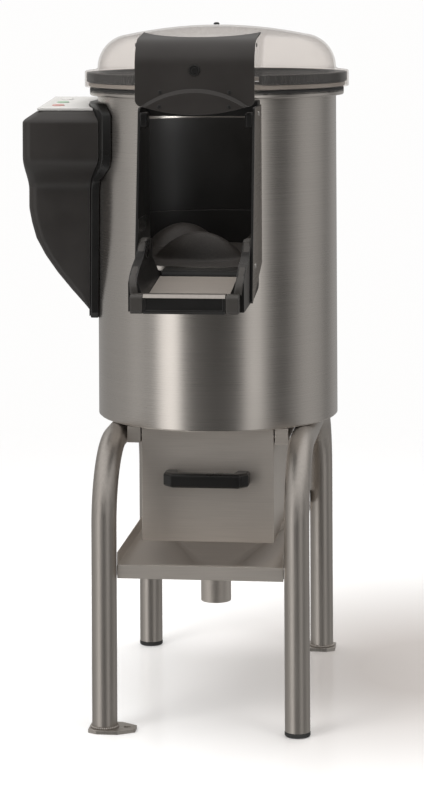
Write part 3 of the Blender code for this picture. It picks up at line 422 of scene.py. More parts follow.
def sweep(path, section):
    """A section of (side, up) offsets carried along a path of (point, side vector, up vector)."""
    bm = bmesh.new()
    rings = []
    for point, side, up in path:
        rings.append([bm.verts.new(Vector(point) + a * Vector(side) + b * Vector(up)) for a, b in section])
    loft(bm, rings, caps=True)
    return bm


def cad_copy(node, name, material, body, bevel, steps=2, merge=0.00002):
    """A CAD node's own shape with its flat faces made whole and its edges rounded."""
    bm = bmesh.new()
    bm.from_mesh(NODES[node].data)
    bmesh.ops.translate(bm, vec=-AXIS, verts=bm.verts[:])
    bmesh.ops.remove_doubles(bm, verts=bm.verts[:], dist=merge)
    bmesh.ops.dissolve_limit(bm, angle_limit=math.radians(1.0), verts=bm.verts[:], edges=bm.edges[:])
    return add_piece(name, bm, material, body, (node,), 32, bevel, steps)


# ---------------------------------------------------------------- stand and drawer

def make_legs():
    """Each leg frame as one seamless bent tube."""
    radius, bend, steps = 0.020, 0.120, 18
    for node in ("left_leg_frame", "right_leg_frame"):
        low, high = node_box(node)
        x, reach, top = middle(node).x, high.y - radius, high.z - radius
        places = [((-reach, low.z), 90.0)]
        places += [((-reach + bend - bend * math.cos(math.radians(turn)),
                     top - bend + bend * math.sin(math.radians(turn))), 90.0 - turn)
                   for turn in [90.0 * step / steps for step in range(steps + 1)]]
        places += [((-y, z), -angle) for (y, z), angle in reversed(places)]
        path = []
        for (y, z), angle in places:
            slope = math.radians(angle)
            path.append(((x, y, z), (1, 0, 0), (0, -math.sin(slope), math.cos(slope))))
        section = arc((0, 0), radius, 0, 360 - 7.5, 47)
        add_piece(node + "_tube", sweep(path, section), "tube_steel", "root", (node,), 50)


def make_stand_plates():
    for node in ("foot_plate_front_left", "foot_plate_rear_right"):
        cad_copy(node, node + "_finish", "tube_steel", "root", 0.0008)
    for node in ("rubber_foot_front_right", "rubber_foot_rear_left"):
        low, high = node_box(node)
        centre = middle(node)
        outer, inner = (high.x - low.x) / 2, 0.0179
        profile = [(0, low.z), (outer - 0.003, low.z), (outer - 0.001, low.z + 0.0006), (outer, low.z + 0.002),
                   (outer, 0.0062), (outer - 0.0006, 0.0070), (inner, 0.0070), (inner, high.z), (0, high.z)]
        cap = lathe(profile, 48, (centre.x, centre.y))
        add_piece(node + "_cap", cap, "rubber_black", "root", (node,))
    cad_copy("drain_tray", "drain_tray_finish", "sheet_steel", "root", 0.0005, 2)
    low, high = node_box("drain_pipe")
    centre, radius = middle("drain_pipe"), (high.x - low.x) / 2
    profile = [(radius - 0.0018, low.z), (radius - 0.0004, low.z), (radius, low.z + 0.0004), (radius, high.z),
               (radius - 0.0018, high.z)]
    pipe = lathe(profile, 64, (centre.x, centre.y))
    add_piece("drain_pipe_finish", pipe, "sheet_steel", "root", ("drain_pipe",))
    for node in ("drawer_rail_left", "drawer_rail_right"):
        cad_copy(node, node + "_finish", "sheet_steel", "root", 0.0004)
        low, high = node_box(node)
        end = box((low.x, low.y - 0.0008, low.z), (high.x, low.y + 0.0004, high.z))
        add_piece(node + "_end", end, "sheet_steel", "root", (), 32, 0.0003)


def make_weld_beads():
    """Welds where the tray meets the four legs and where each floor plate meets its leg."""
    tray_high = node_box("drain_tray")[1]
    for index, (sx, sy) in enumerate(((-1, -1), (1, -1), (-1, 1), (1, 1))):
        bm = bmesh.new()
        x = sx * (tray_high.x - 0.0012)
        for step in range(9):
            z = 0.2455 + step * 0.0017
            bmesh.ops.create_uvsphere(bm, u_segments=8, v_segments=6, radius=0.0016,
                                      matrix=Matrix.Translation((x, sy * (tray_high.y - 0.0022), z)))
        add_piece("tray_weld_%d" % index, bm, "tube_steel", "root", (), 60)
    for node in ("foot_plate_front_left", "foot_plate_rear_right"):
        leg = "left_leg_frame" if "left" in node else "right_leg_frame"
        x = middle(leg).x
        y = -0.262 if "front" in node else 0.262
        bm = bmesh.new()
        for step in range(40):
            angle = 2 * math.pi * step / 40
            place = (x + 0.0208 * math.cos(angle), y + 0.0208 * math.sin(angle), 0.0072)
            bmesh.ops.create_uvsphere(bm, u_segments=8, v_segments=6, radius=0.0021,
                                      matrix=Matrix.Translation(place))
        add_piece(node + "_weld", bm, "tube_steel", "root", (), 60)


def make_drawer_looks():
    cad_copy("filter_drawer_box", "filter_drawer_finish", "sheet_steel", "drawer", 0.0007)
    cad_copy("strainer_plate", "strainer_plate_finish", "sheet_steel", "drawer", 0.0003, 1)
    low, high = node_box("drawer_handle")
    across, front, back = high.x, low.y, high.y
    mid, tall = (low.z + high.z) / 2, high.z - low.z
    right_half = [(across - 0.013, front), (across, front + 0.013), (across, back), (across - 0.020, back),
                  (across - 0.024, front + 0.012)]
    outline = [(-x, y) for x, y in right_half[2::-1]] + right_half + [(-x, y) for x, y in right_half[:2:-1]]
    bm = bmesh.new()
    rows = []
    for share, shrink in ((-0.5, 0.0035), (-0.36, 0.0), (0.36, 0.0), (0.5, 0.0035)):
        rows.append([bm.verts.new((x - math.copysign(shrink, x) * (abs(x) > across - 0.02),
                                   y + (shrink if y < front + 0.014 else 0), mid + share * tall))
                     for x, y in outline])
    loft(bm, rows, caps=True)
    add_piece("drawer_handle_grip", bm, "black_plastic", "drawer", ("drawer_handle",), 28, 0.0016, 3)


# ---------------------------------------------------------------- drum

def opening_box(low, high):
    return box((-0.0895, -0.30, low), (0.0895, -0.10, high))


def make_drum_looks():
    low, high = DRUM_LOW.z, DRUM_HIGH.z
    profile = [(DRUM_IN, low), (DRUM_R - 0.0006, low),
               (DRUM_R - 0.0001, low + 0.0005), (DRUM_R, low + 0.0015),
               (DRUM_R, high), (DRUM_IN, high)]
    shell = add_piece("drum_shell_skin", lathe(profile), "drum_steel", "root", ("drum_shell",), 40)
    subtract(shell, opening_box(0.7265, 0.968), "opening_cutter")

    low, high = node_box("drum_rim_gasket")
    outer, inner, seam = high.x, DRUM_IN - 0.0015, low.z + 0.0090
    band = [(DRUM_R + 0.0004, low.z), (DRUM_R + 0.0012, low.z)]
    band += arc((outer - 0.0030, low.z + 0.0030), 0.0030, -60, 0, 3)
    band += [(outer, seam), (DRUM_R + 0.0004, seam)]
    add_piece("drum_rim_band", lathe(band), "drum_steel", "root", (), 40)
    profile = [(DRUM_R + 0.0004, seam), (outer, seam)]
    profile += [(outer, 1.0010), (outer - 0.0012, 1.0016), (outer - 0.0012, 1.0026), (outer, 1.0032)]
    profile += arc((outer - 0.0022, high.z - 0.0022), 0.0022, 0, 90, 4)
    profile += [(inner, high.z), (inner, 1.0045), (DRUM_R + 0.0004, 1.0045)]
    add_piece("drum_rim_gasket_finish", lathe(profile), "rubber_black", "root", ("drum_rim_gasket",), 40)

    for node, low_cut in (("chamber_liner", 0.70), ("lower_liner_ring", 0.7265)):
        low, high = node_box(node)
        outer = DRUM_IN - 0.0004
        inner = outer - (0.0030 if node == "chamber_liner" else 0.0045)
        profile = [(inner, low.z + 0.0006), (inner + 0.0006, low.z), (outer, low.z), (outer, high.z),
                   (inner + 0.0006, high.z), (inner, high.z - 0.0006)]
        ring = add_piece(node + "_finish", lathe(profile), "liner_black", "root", (node,), 40)
        subtract(ring, opening_box(low_cut, 1.0), node + "_cutter")


DISC_R = node_box("abrasive_disc")[1].x
DISC_CROWN, DISC_FALL = 0.742, 0.018
WAVE_HEIGHT, WAVE_AT, WAVE_START = 0.036, 0.095, -102


def wave_height(x, y):
    """The disc's face: a low crown and three smooth waves, each with a soft foot."""
    wave = 0.0
    for turn in (WAVE_START, WAVE_START + 120, WAVE_START + 240):
        cosine, sine = math.cos(math.radians(turn)), math.sin(math.radians(turn))
        outward, sideways = x * cosine + y * sine, y * cosine - x * sine
        wave = max(wave, 1 - (sideways / 0.075) ** 2 - ((outward - WAVE_AT) / 0.050) ** 2)
    return DISC_CROWN - DISC_FALL * (x * x + y * y) / DISC_R ** 2 + WAVE_HEIGHT * wave


def make_disc_looks():
    """The disc with its smooth waves, finer than the frame's copy of them."""
    steps = 160
    turns = [2 * math.pi * step / steps for step in range(steps)]
    outline = [((DISC_R - 0.0015) * count / 48, None) for count in range(1, 49)]
    outline += [(DISC_R - 0.0004, 0.7236), (DISC_R, 0.7225), (DISC_R, 0.7142), (DISC_R - 0.0012, 0.7130),
                (DISC_R - 0.006, 0.7130), (DISC_R - 0.006, 0.7205)]
    bm = bmesh.new()
    rings = [[bm.verts.new((0, 0, DISC_CROWN))] * steps]
    for reach, height in outline:
        places = [(reach * math.cos(turn), reach * math.sin(turn)) for turn in turns]
        rings.append([bm.verts.new((x, y, wave_height(x, y) if height is None else height))
                      for x, y in places])
    rings.append([bm.verts.new((0, 0, 0.7205))] * steps)
    loft(bm, rings)
    add_piece("abrasive_disc_finish", bm, "grit", "disc", ("abrasive_disc",), 50)


def screw_head(name, place, facing, radius, body, material="bright_steel", proud=0.0014):
    """A low dome with a cross recess, facing along a world axis."""
    bm = bmesh.new()
    steps = 24
    levels = [(radius, 0.0), (radius, proud * 0.45), (radius * 0.82, proud * 0.85),
              (radius * 0.45, proud), (0, proud)]
    rings = []
    for reach, height in levels:
        if reach == 0:
            rings.append([bm.verts.new((0, 0, height))] * steps)
        else:
            rings.append([bm.verts.new((reach * math.cos(2 * math.pi * step / steps),
                                        reach * math.sin(2 * math.pi * step / steps), height))
                          for step in range(steps)])
    bm.faces.new(rings[0])
    loft(bm, rings)
    turn = Vector((0, 0, 1)).rotation_difference(Vector(facing)).to_matrix().to_4x4()
    bmesh.ops.transform(bm, matrix=Matrix.Translation(place) @ turn, verts=bm.verts[:])
    screw = add_piece(name, bm, material, None, (), 40)
    for turn_angle in (0, 90):
        slot = box((-radius * 0.55, -radius * 0.10, proud * 0.35),
                   (radius * 0.55, radius * 0.10, proud * 2))
        spin = Matrix.Rotation(math.radians(turn_angle), 4, "Z")
        bmesh.ops.transform(slot, matrix=Matrix.Translation(place) @ turn @ spin, verts=slot.verts[:])
        subtract(screw, slot, name + "_slot")
    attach(screw, body)
    return screw


CHEEK_LOW, CHEEK_HIGH = node_box("right_cheek")


def cheek_line(inset):
    """A cheek's side view (y, z). Its front edge leans back towards the top, where its corner is round."""
    front, front_top, top = CHEEK_LOW.y + inset, -0.285 + inset, CHEEK_HIGH.z - inset * 0.3
    points = [(CHEEK_HIGH.y, 0.7330), (CHEEK_HIGH.y, top)]
    points += arc((front_top + 0.010, top - 0.010), 0.010, 90, 170, 8)
    return points + [(front, 0.6890), (front + 0.004, 0.6855)]


def make_door_frame_looks():
    """Steel cheeks with black linings that wrap their front edges, screws and thin guides for the door."""
    wall, lining = 0.0020, 0.0016
    for node, side in (("left_cheek", -1), ("right_cheek", 1)):
        outer = side * CHEEK_HIGH.x
        inner = side * (CHEEK_HIGH.x - wall)
        low, high = sorted((outer, inner + side * 0.0001))
        sheet = prism(cheek_line(0.0022), "X", low, high)
        add_piece(node + "_finish", sheet, "drum_steel", "root", (node,), 32, 0.0004)
        low, high = sorted((outer - side * 0.0001, inner - side * lining))
        edge = add_piece(node + "_lining", prism(cheek_line(0), "X", low, high), "liner_black", "root")
        low, high = sorted((inner, outer * 1.1))
        subtract(edge, prism(cheek_line(0.0024), "X", low, high), node + "_pocket")
        round_edges(edge, 0.0004, 2)
        screw_head(node + "_low_screw", (outer, -0.287, 0.739), (side, 0, 0), 0.0042, "root")
        screw_head(node + "_top_screw", (outer, -0.225, 0.974), (side, 0, 0), 0.0042, "root")
        low, high = sorted((side * 0.0887, inner))
        guide = box((low, -0.306, 0.790), (high, -0.225, 0.813))
        add_piece(node + "_guide", guide, "bright_steel", "root", (), 32, 0.0004)
    for node in ("left_catch", "right_catch"):
        cad_copy(node, node + "_finish", "black_plastic", "root", 0.0006)
    cad_copy("top_frame", "top_frame_finish", "liner_black", "root", 0.0008)
    cad_copy("door_sill", "door_sill_finish", "liner_black", "root", 0.0008)


# ---------------------------------------------------------------- discharge door

def make_door_looks():
    """Black scoop, grey rims along its sides, steel chute plate, and a bar with grey end caps."""
    pivot = Vector(next(j for j in frame["joints"] if j["name"] == "door_hinge")["pos_m"]) - AXIS
    cad_copy("door_scoop", "door_scoop_finish", "black_plastic", "door", 0.0012)
    cad_copy("door_chute_plate", "door_chute_finish", "sheet_steel", "door", 0.0003, 1)
    line = [(-0.0460, 0.0690), (-0.0650, 0.0730), (-0.0900, 0.0740), (-0.1070, 0.0705), (-0.1200, 0.0595),
            (-0.1400, 0.0490), (-0.1750, 0.0400), (-0.2000, 0.0300), (-0.2125, 0.0220), (-0.2180, 0.0140),
            (-0.2190, 0.0040)]
    for side, word in ((-1, "left"), (1, "right")):
        points = smooth_line(line, 5)
        path = []
        for index, (y, z) in enumerate(points):
            before, after = points[max(index - 1, 0)], points[min(index + 1, len(points) - 1)]
            ahead = Vector((0, after[0] - before[0], after[1] - before[1])).normalized()
            up = Vector((0, -ahead.z, ahead.y))
            if up.z < 0:
                up = -up
            share = index / (len(points) - 1)
            x = side * (0.0822 - 0.0035 * max(0.0, share - 0.75) * 4)
            path.append(((x, pivot.y + y, pivot.z + z), (1, 0, 0), up))
        half, low, high = 0.0062, -0.0050, 0.0018
        section = [(-half, low), (half, low)] + arc((half - 0.003, high - 0.003), 0.003, 0, 90, 4)
        section += arc((-half + 0.003, high - 0.003), 0.003, 90, 180, 4)
        add_piece("door_rim_" + word, sweep(path, section), "rim_plastic", "door", (), 50)

    low, high = node_box("door_handle_bar")
    split = 0.0625
    outline = [(high.y, low.z), (low.y + 0.004, low.z), (low.y, low.z + 0.004), (low.y, high.z - 0.004),
               (low.y + 0.004, high.z), (high.y, high.z)]
    bar = add_piece("door_bar_middle", prism(outline, "X", -split, split), "black_plastic", "door",
                    ("door_handle_bar",), 32, 0.0015, 3)
    dent = box((-split + 0.004, low.y - 0.01, low.z + 0.0060),
               (split - 0.004, low.y + 0.0020, high.z - 0.0050))
    bar.modifiers.clear()
    subtract(bar, dent, "bar_dent")
    round_edges(bar, 0.0010, 2)
    lip = [(0.0006, -0.0048), (-0.0004, -0.0044), (0.0038, 0.0007), (0.0140, 0.0007), (0.0140, -0.0004),
           (0.0046, -0.0004)]
    lip = [(low.y + y, high.z + z) for y, z in lip]
    add_piece("door_bar_lip", prism(lip, "X", -split, split), "tube_steel", "door", (), 32, 0.0003)
    for side, word in ((-1, "left"), (1, "right")):
        near, far = sorted((side * (split + 0.0002), side * high.x))
        cap = add_piece("door_bar_cap_" + word, prism(outline, "X", near, far), "rim_plastic", "door")
        bore = lathe([(0, 0), (0.0058, 0), (0.0058, 0.02), (0, 0.02)], 32)
        turn = Matrix.Rotation(math.radians(90 * side), 4, "Y")
        place = Matrix.Translation((side * (high.x - 0.006), (low.y + 0.0125), (low.z + high.z) / 2))
        bmesh.ops.transform(bore, matrix=place @ turn, verts=bore.verts[:])
        subtract(cap, bore, "cap_bore_" + word)
        round_edges(cap, 0.0020, 3)


def smooth_line(points, steps):
    """Catmull-Rom points through a few given ones."""
    result = []
    ends = [points[0]] + list(points) + [points[-1]]
    for a, b, c, d in zip(ends, ends[1:], ends[2:], ends[3:]):
        for step in range(steps):
            t = step / steps
            result.append(tuple(
                0.5 * (2 * q + (r - p) * t + (2 * p - 5 * q + 4 * r - s) * t * t
                       + (3 * q - p - 3 * r + s) * t ** 3)
                for p, q, r, s in zip(a, b, c, d)))
    result.append(tuple(points[-1]))
    return result


# ---------------------------------------------------------------- lid

LID_LOW, LID_HIGH = node_box("lid_dome")
LID_WALL = 0.003
COVER_LOW, COVER_HIGH = node_box("lid_front_cover")
COVER_BEND_Z, COVER_BEND, COVER_END = 1.0508, 0.045, 96.7


def dome_line(inset):
    """Near-upright base, round shoulder, shallow crown."""
    points = arc((0.144, 1.0405), 0.056 - inset, 0, 84, 16)
    radius, height = points[-1]
    apex = LID_HIGH.z - inset
    points += [(radius * share, apex - (apex - height) * share * share)
               for share in (0.9, 0.75, 0.6, 0.45, 0.3, 0.15)]
    return points + [(0, apex)]


def hood_line(inset):
    front = COVER_LOW.y + LID_WALL + 0.0006 + inset
    centre = (COVER_LOW.y + COVER_BEND, COVER_BEND_Z)
    points = arc(centre, centre[0] - front, 180, COVER_END, 14)
    top, foot = 1.1000 - inset, LID_LOW.z - inset
    return points + [(-0.200, top), (-0.090, top), (-0.090, foot), (front, foot)]


def make_lid_looks():
    rim_r = LID_HIGH.x
    low, top = LID_LOW.z, 1.036
    rim = [(0, low), (rim_r - 0.0008, low), (rim_r, low + 0.0008), (rim_r, top - 0.0030)]
    rim += arc((rim_r - 0.0025, top - 0.0025), 0.0025, 15, 90, 4)
    rim += [(0.2095, top), (0.2082, top + 0.0010), (0.2040, top + 0.0014), (0.2015, 1.0395)]
    dome = add_piece("lid_shell", lathe(rim + dome_line(0), 128), "clear_lid", "lid", ("lid_dome",), 32)
    half = COVER_HIGH.x + 0.001
    subtract(dome, prism(hood_line(0), "X", -half, half), "hood_outer", "UNION")
    inner = rim_r - 0.0025
    hollow = [(0, low - 0.01), (inner, low - 0.01), (inner, top - 0.0025),
              (0.1985, top - 0.0025), (0.1975, 1.0395)]
    subtract(dome, lathe(hollow + dome_line(LID_WALL), 128), "dome_inner")
    subtract(dome, prism(hood_line(LID_WALL), "X", -half + LID_WALL, half - LID_WALL), "hood_inner")

    ring_low, ring_high = node_box("lid_gasket")
    outer, inside = ring_high.x, 0.2012
    start = math.asin(-math.sqrt(1 - (0.0965 / outer) ** 2))
    foot, ribs, steps = ring_low.z + 0.34 * (ring_high.z - ring_low.z), 230, 1840
    roll = [(0.2020, LID_LOW.z + 0.0006), (0.2150, LID_LOW.z + 0.0006),
            (0.2150, foot - 0.0008), (0.2020, foot - 0.0008)]
    add_piece("drum_rolled_edge", lathe(roll), "sheet_steel", "root", (), 40, 0.0008)
    bm = bmesh.new()
    rows = []
    for step in range(steps + 1):
        angle = start + (math.pi - 2 * start) * step / steps
        rib = 0.0011 * math.cos(angle * ribs)
        outline = [(inside, foot), (outer - 0.0012, foot), (outer - 0.0012 + rib, foot + 0.002),
                   (outer - 0.0012 + rib, ring_high.z - 0.002), (outer - 0.0012, ring_high.z),
                   (inside, ring_high.z)]
        rows.append([bm.verts.new((r * math.cos(angle), r * math.sin(angle), z)) for r, z in outline])
    loft(bm, rows, caps=True)
    add_piece("lid_gasket_ribs", bm, "rubber_black", "lid", ("lid_gasket",), 40)

    low, high = node_box("lid_top_plug")
    plug = [(0, low.z), (high.x, low.z), (high.x, low.z + 0.0016), (high.x - 0.0012, high.z - 0.0006),
            (high.x - 0.0028, high.z), (0, high.z)]
    add_piece("lid_top_plug_finish", lathe(plug, 40), "black_plastic", "lid", ("lid_top_plug",), 50)
    for node in ("lid_hinge_leaf", "lid_hinge_bracket"):
        body = "lid" if node == "lid_hinge_leaf" else "root"
        cad_copy(node, node + "_finish", "bright_steel" if body == "lid" else "drum_steel", body, 0.0006)
    for side, word in ((-1, "left"), (1, "right")):
        screw_head("hood_side_screw_" + word, (side * half, -0.281, 1.084), (side, 0, 0), 0.0034, "lid",
                   "black_plastic")


def cover_bottom(x):
    """Lower edge of the cover: a shallow dip in the middle and a round corner at each end."""
    corner = 0.011
    flat = COVER_HIGH.x - corner
    height = COVER_LOW.z + 0.013 * (min(abs(x), flat) / flat) ** 2
    over = abs(x) - flat
    if over > 0:
        height += corner - math.sqrt(max(corner ** 2 - over ** 2, 0))
    return height


def pad_top(x):
    radius, peak = 0.142, 1.0163
    return peak - radius + math.sqrt(radius ** 2 - x * x)


def make_cover_looks():
    columns, front, half = 72, COVER_LOW.y, COVER_HIGH.x
    bm = bmesh.new()
    grid = []
    for column in range(columns + 1):
        x = half * math.sin(math.pi * (column / columns - 0.5))
        rear_y = -0.1564 - math.sqrt(0.1036 ** 2 - x * x)
        low = cover_bottom(x)
        points = [(front, low + (COVER_BEND_Z - low) * share) for share in (0, 0.04, 0.3, 0.6, 0.9)]
        points += arc((front + COVER_BEND, COVER_BEND_Z), COVER_BEND, 180, COVER_END, 16)
        last = points[-1]
        run = max(rear_y - last[0], 0.0012)
        points += [(last[0] + run * share, last[1] + run * share * 0.117) for share in (0.33, 0.66, 1.0)]
        grid.append([bm.verts.new((x, y, z)) for y, z in points])
    loft(bm, grid, closed=False)
    cover = add_piece("lid_cover_finish", bm, "cover_plastic", "lid", ("lid_front_cover",), 60)
    if cover.data.polygons[0].normal.y > 0:
        cover.data.flip_normals()
    solidify = cover.modifiers.new("thickness", "SOLIDIFY")
    solidify.thickness = LID_WALL
    solidify.offset = -1
    bake_modifiers(cover)
    cover.data.set_sharp_from_angle(angle=math.radians(40))
    round_edges(cover, 0.0008, 2)

    face, half = front - 0.0003, 0.0855
    bm = bmesh.new()
    rows = []
    for column in range(61):
        x = half * math.sin(math.pi * (column / 60 - 0.5))
        low, high = cover_bottom(x) + 0.0002, max(pad_top(x), cover_bottom(x) + 0.0015)
        tall = high - low
        out = 0.0045 * min(1, tall / 0.008)
        shelf = min(0.0060, tall * 0.6)
        rows.append([bm.verts.new(place) for place in (
            (x, face, low), (x, face - out, low + min(0.0006, tall * 0.1)), (x, face - out, high - shelf),
            (x, face - out * 0.12, high), (x, face, high))])
    loft(bm, rows, caps=True)
    add_piece("lid_pad_finish", bm, "cover_plastic", "lid", ("lid_grip_pad",), 25)

    ring = [(0, 0), (0.0088, 0), (0.0088, 0.0012), (0.0082, 0.0020), (0.0070, 0.0020), (0.0062, 0.0006),
            (0.0050, 0.0006), (0.0044, 0.0018), (0, 0.0018)]
    bm = lathe(ring, 64)
    place = Matrix.Translation((0, front - 0.0003, 1.045)) @ Matrix.Rotation(math.radians(90), 4, "X")
    bmesh.ops.transform(bm, matrix=place, verts=bm.verts[:])
    add_piece("lid_plug_finish", bm, "black_plastic", "lid", ("lid_cover_plug",), 40)
    for index, (x, z, depth) in enumerate(((-0.0545, 1.011, 0.0003), (0.0545, 1.011, 0.0003),
                                           (-0.0555, 0.9885, 0.0049), (0.0545, 0.9885, 0.0049))):
        screw_head("lid_cover_screw_%d" % index, (x, front - depth, z), (0, -1, 0), 0.0032, "lid",
                   "black_plastic", 0.0010)


# ---------------------------------------------------------------- control housing

HOUSING_LOW, HOUSING_HIGH = node_box("housing_cover")


def smooth_step(value, low, high):
    share = min(1.0, max(0.0, (value - low) / (high - low)))
    return share * share * (3 - 2 * share)


def housing_half(z):
    """Half width of the cover: a tail that widens a little, an S-curve, then the wide top block."""
    tail = 0.034 + 0.020 * smooth_step(z, 0.615, 0.800)
    return tail + (0.110 - tail) * smooth_step(z, 0.836, 0.896)


def housing_reach(z):
    """How far out the cover's side is, from the curve of its lower tail."""
    line = [(0.624, -0.1985), (0.639, -0.2155), (0.665, -0.242), (0.697, -0.2675), (0.726, -0.287),
            (0.7555, -0.302), (0.782, -0.309), (0.806, HOUSING_LOW.x), (0.99, HOUSING_LOW.x)]
    for (z0, x0), (z1, x1) in zip(line, line[1:]):
        if z <= z1:
            return x0 + (x1 - x0) * (z - z0) / (z1 - z0)
    return line[-1][1]


def housing_shrink(z):
    """How far the sides lie in where the shoulder slopes up to the flat top."""
    rise = z - (HOUSING_HIGH.z - 0.020)
    if rise <= 0:
        return 0.0
    if rise < 0.007:
        return 0.004 * (rise / 0.007) ** 2
    return 0.004 + 0.018 * (rise - 0.007) / 0.013


BASE_R = 0.2140


def make_housing_looks():
    seat_r, bend = BASE_R + 0.0006, HOUSING_HIGH.z - 0.020
    levels = [0.6250 + (bend - 0.6250) * step / 60 for step in range(61)]
    levels += [bend + rise
               for rise in (0.0015, 0.003, 0.0045, 0.006, 0.007, 0.011, 0.015, 0.0185, 0.0195, 0.020)]
    bm = bmesh.new()
    rows = []
    for z in levels:
        shrink = housing_shrink(z) + max(0.0, (z - bend - 0.0185)) * 1.5
        half = housing_half(z) - shrink
        out = housing_reach(z) + shrink
        corner = min(0.017, half * 0.45)
        seat = -math.sqrt(seat_r ** 2 - half ** 2)
        out = min(out, seat - 0.0012)
        corner = min(corner, (seat - out) * 0.6)
        points = [(seat, -half)]
        points += arc((out + corner, -half + corner), corner, 270, 180, 7)
        points += arc((out + corner, half - corner), corner, 180, 90, 7)
        points += [(seat, half)]
        back = [half * share for share in (0.8, 0.6, 0.4, 0.2, 0, -0.2, -0.4, -0.6, -0.8)]
        points += [(-math.sqrt(seat_r ** 2 - y * y), y) if -math.sqrt(seat_r ** 2 - y * y) > out + 0.001
                   else (out + 0.001, y) for y in back]
        rows.append([bm.verts.new((x, y, z)) for x, y in points])
    loft(bm, rows, caps=True)
    add_piece("housing_shell", bm, "cover_plastic", "root", ("housing_cover",), 45)
    cad_copy("housing_base", "housing_flange", "black_plastic", "root", 0.0020, 3)
    cad_copy("control_panel", "control_panel_finish", "panel_grey", "root", 0.0012, 3)
    for key, material in (("start", "key_green"), ("stop", "key_red"), ("timer", "panel_grey")):
        cad_copy(key + "_key", key + "_key_finish", material, key + "_button", 0.0004)


# ---------------------------------------------------------------- studio

CAMERA_TURN = math.radians(6.6)


def make_world():
    """A studio seen by reflections as upright soft boxes, and plain white seen straight on."""
    world = bpy.data.worlds.new("studio")
    bpy.context.scene.world = world
    world.use_nodes = True
    tree = world.node_tree
    background = tree.nodes["Background"]
    coords = tree.nodes.new("ShaderNodeTexCoord")
    parts = tree.nodes.new("ShaderNodeSeparateXYZ")
    tree.links.new(coords.outputs["Generated"], parts.inputs[0])

    def maths(operation, first, second=None):
        node = tree.nodes.new("ShaderNodeMath")
        node.operation = operation
        for index, value in enumerate((first, second)):
            if value is None:
                continue
            if isinstance(value, (int, float)):
                node.inputs[index].default_value = value
            else:
                tree.links.new(value, node.inputs[index])
        return node.outputs[0]

    turn = maths("ARCTAN2", parts.outputs["X"], maths("MULTIPLY", parts.outputs["Y"], -1.0))
    turn = maths("SUBTRACT", turn, CAMERA_TURN)
    share = maths("FRACT", maths("ADD", maths("DIVIDE", turn, 2 * math.pi), 0.5))
    ramp = tree.nodes.new("ShaderNodeValToRGB")
    ramp.color_ramp.interpolation = "EASE"
    soft_boxes = [(-180, 0.40), (-137, 0.36), (-105, 0.42), (-85, 0.54), (-72, 0.45), (-65, 0.42),
                  (-59, 0.90), (-55, 1.40), (-44, 1.65), (-39, 1.30), (-35, 0.40), (-29, 0.22),
                  (-20, 0.14), (0, 0.10), (17, 0.12), (22, 0.25), (29, 0.75), (35, 0.85), (42, 0.70),
                  (50, 0.28), (58, 0.12), (68, 0.12), (78, 0.26), (90, 0.45), (100, 0.48), (112, 0.43),
                  (128, 0.26), (150, 0.40), (180, 0.40)]
    elements = ramp.color_ramp.elements
    for index, (degrees, bright) in enumerate(soft_boxes):
        position = degrees / 360 + 0.5
        spot = elements[index] if index < 2 else elements.new(position)
        spot.position = position
        spot.color = (bright, bright * 0.985, bright * 0.965, 1)
    tree.links.new(share, ramp.inputs[0])

    overhead = tree.nodes.new("ShaderNodeMapRange")
    overhead.interpolation_type = "SMOOTHSTEP"
    overhead.inputs["From Min"].default_value = 0.30
    overhead.inputs["From Max"].default_value = 0.65
    tree.links.new(parts.outputs["Z"], overhead.inputs["Value"])
    sky = tree.nodes.new("ShaderNodeMix")
    sky.data_type = "RGBA"
    sky.inputs["B"].default_value = (0.95, 0.94, 0.93, 1)
    tree.links.new(overhead.outputs["Result"], sky.inputs["Factor"])
    tree.links.new(ramp.outputs["Color"], sky.inputs["A"])

    path = tree.nodes.new("ShaderNodeLightPath")
    seen = tree.nodes.new("ShaderNodeMix")
    seen.data_type = "RGBA"
    seen.inputs["B"].default_value = (0.99, 0.985, 0.98, 1)
    tree.links.new(path.outputs["Is Camera Ray"], seen.inputs["Factor"])
    tree.links.new(sky.outputs["Result"], seen.inputs["A"])
    tree.links.new(seen.outputs["Result"], background.inputs["Color"])


def add_light(name, place, target, size, power):
    data = bpy.data.lights.new(name, "AREA")
    data.shape = "RECTANGLE"
    data.size, data.size_y = size
    data.energy = power
    light = bpy.data.objects.new(name, data)
    bpy.context.scene.collection.objects.link(light)
    light.location = Vector(place) + AXIS
    light.rotation_euler = (Vector(target) - Vector(place)).to_track_quat("-Z", "Y").to_euler()
    light.visible_camera = False
    light.visible_glossy = False
    return light


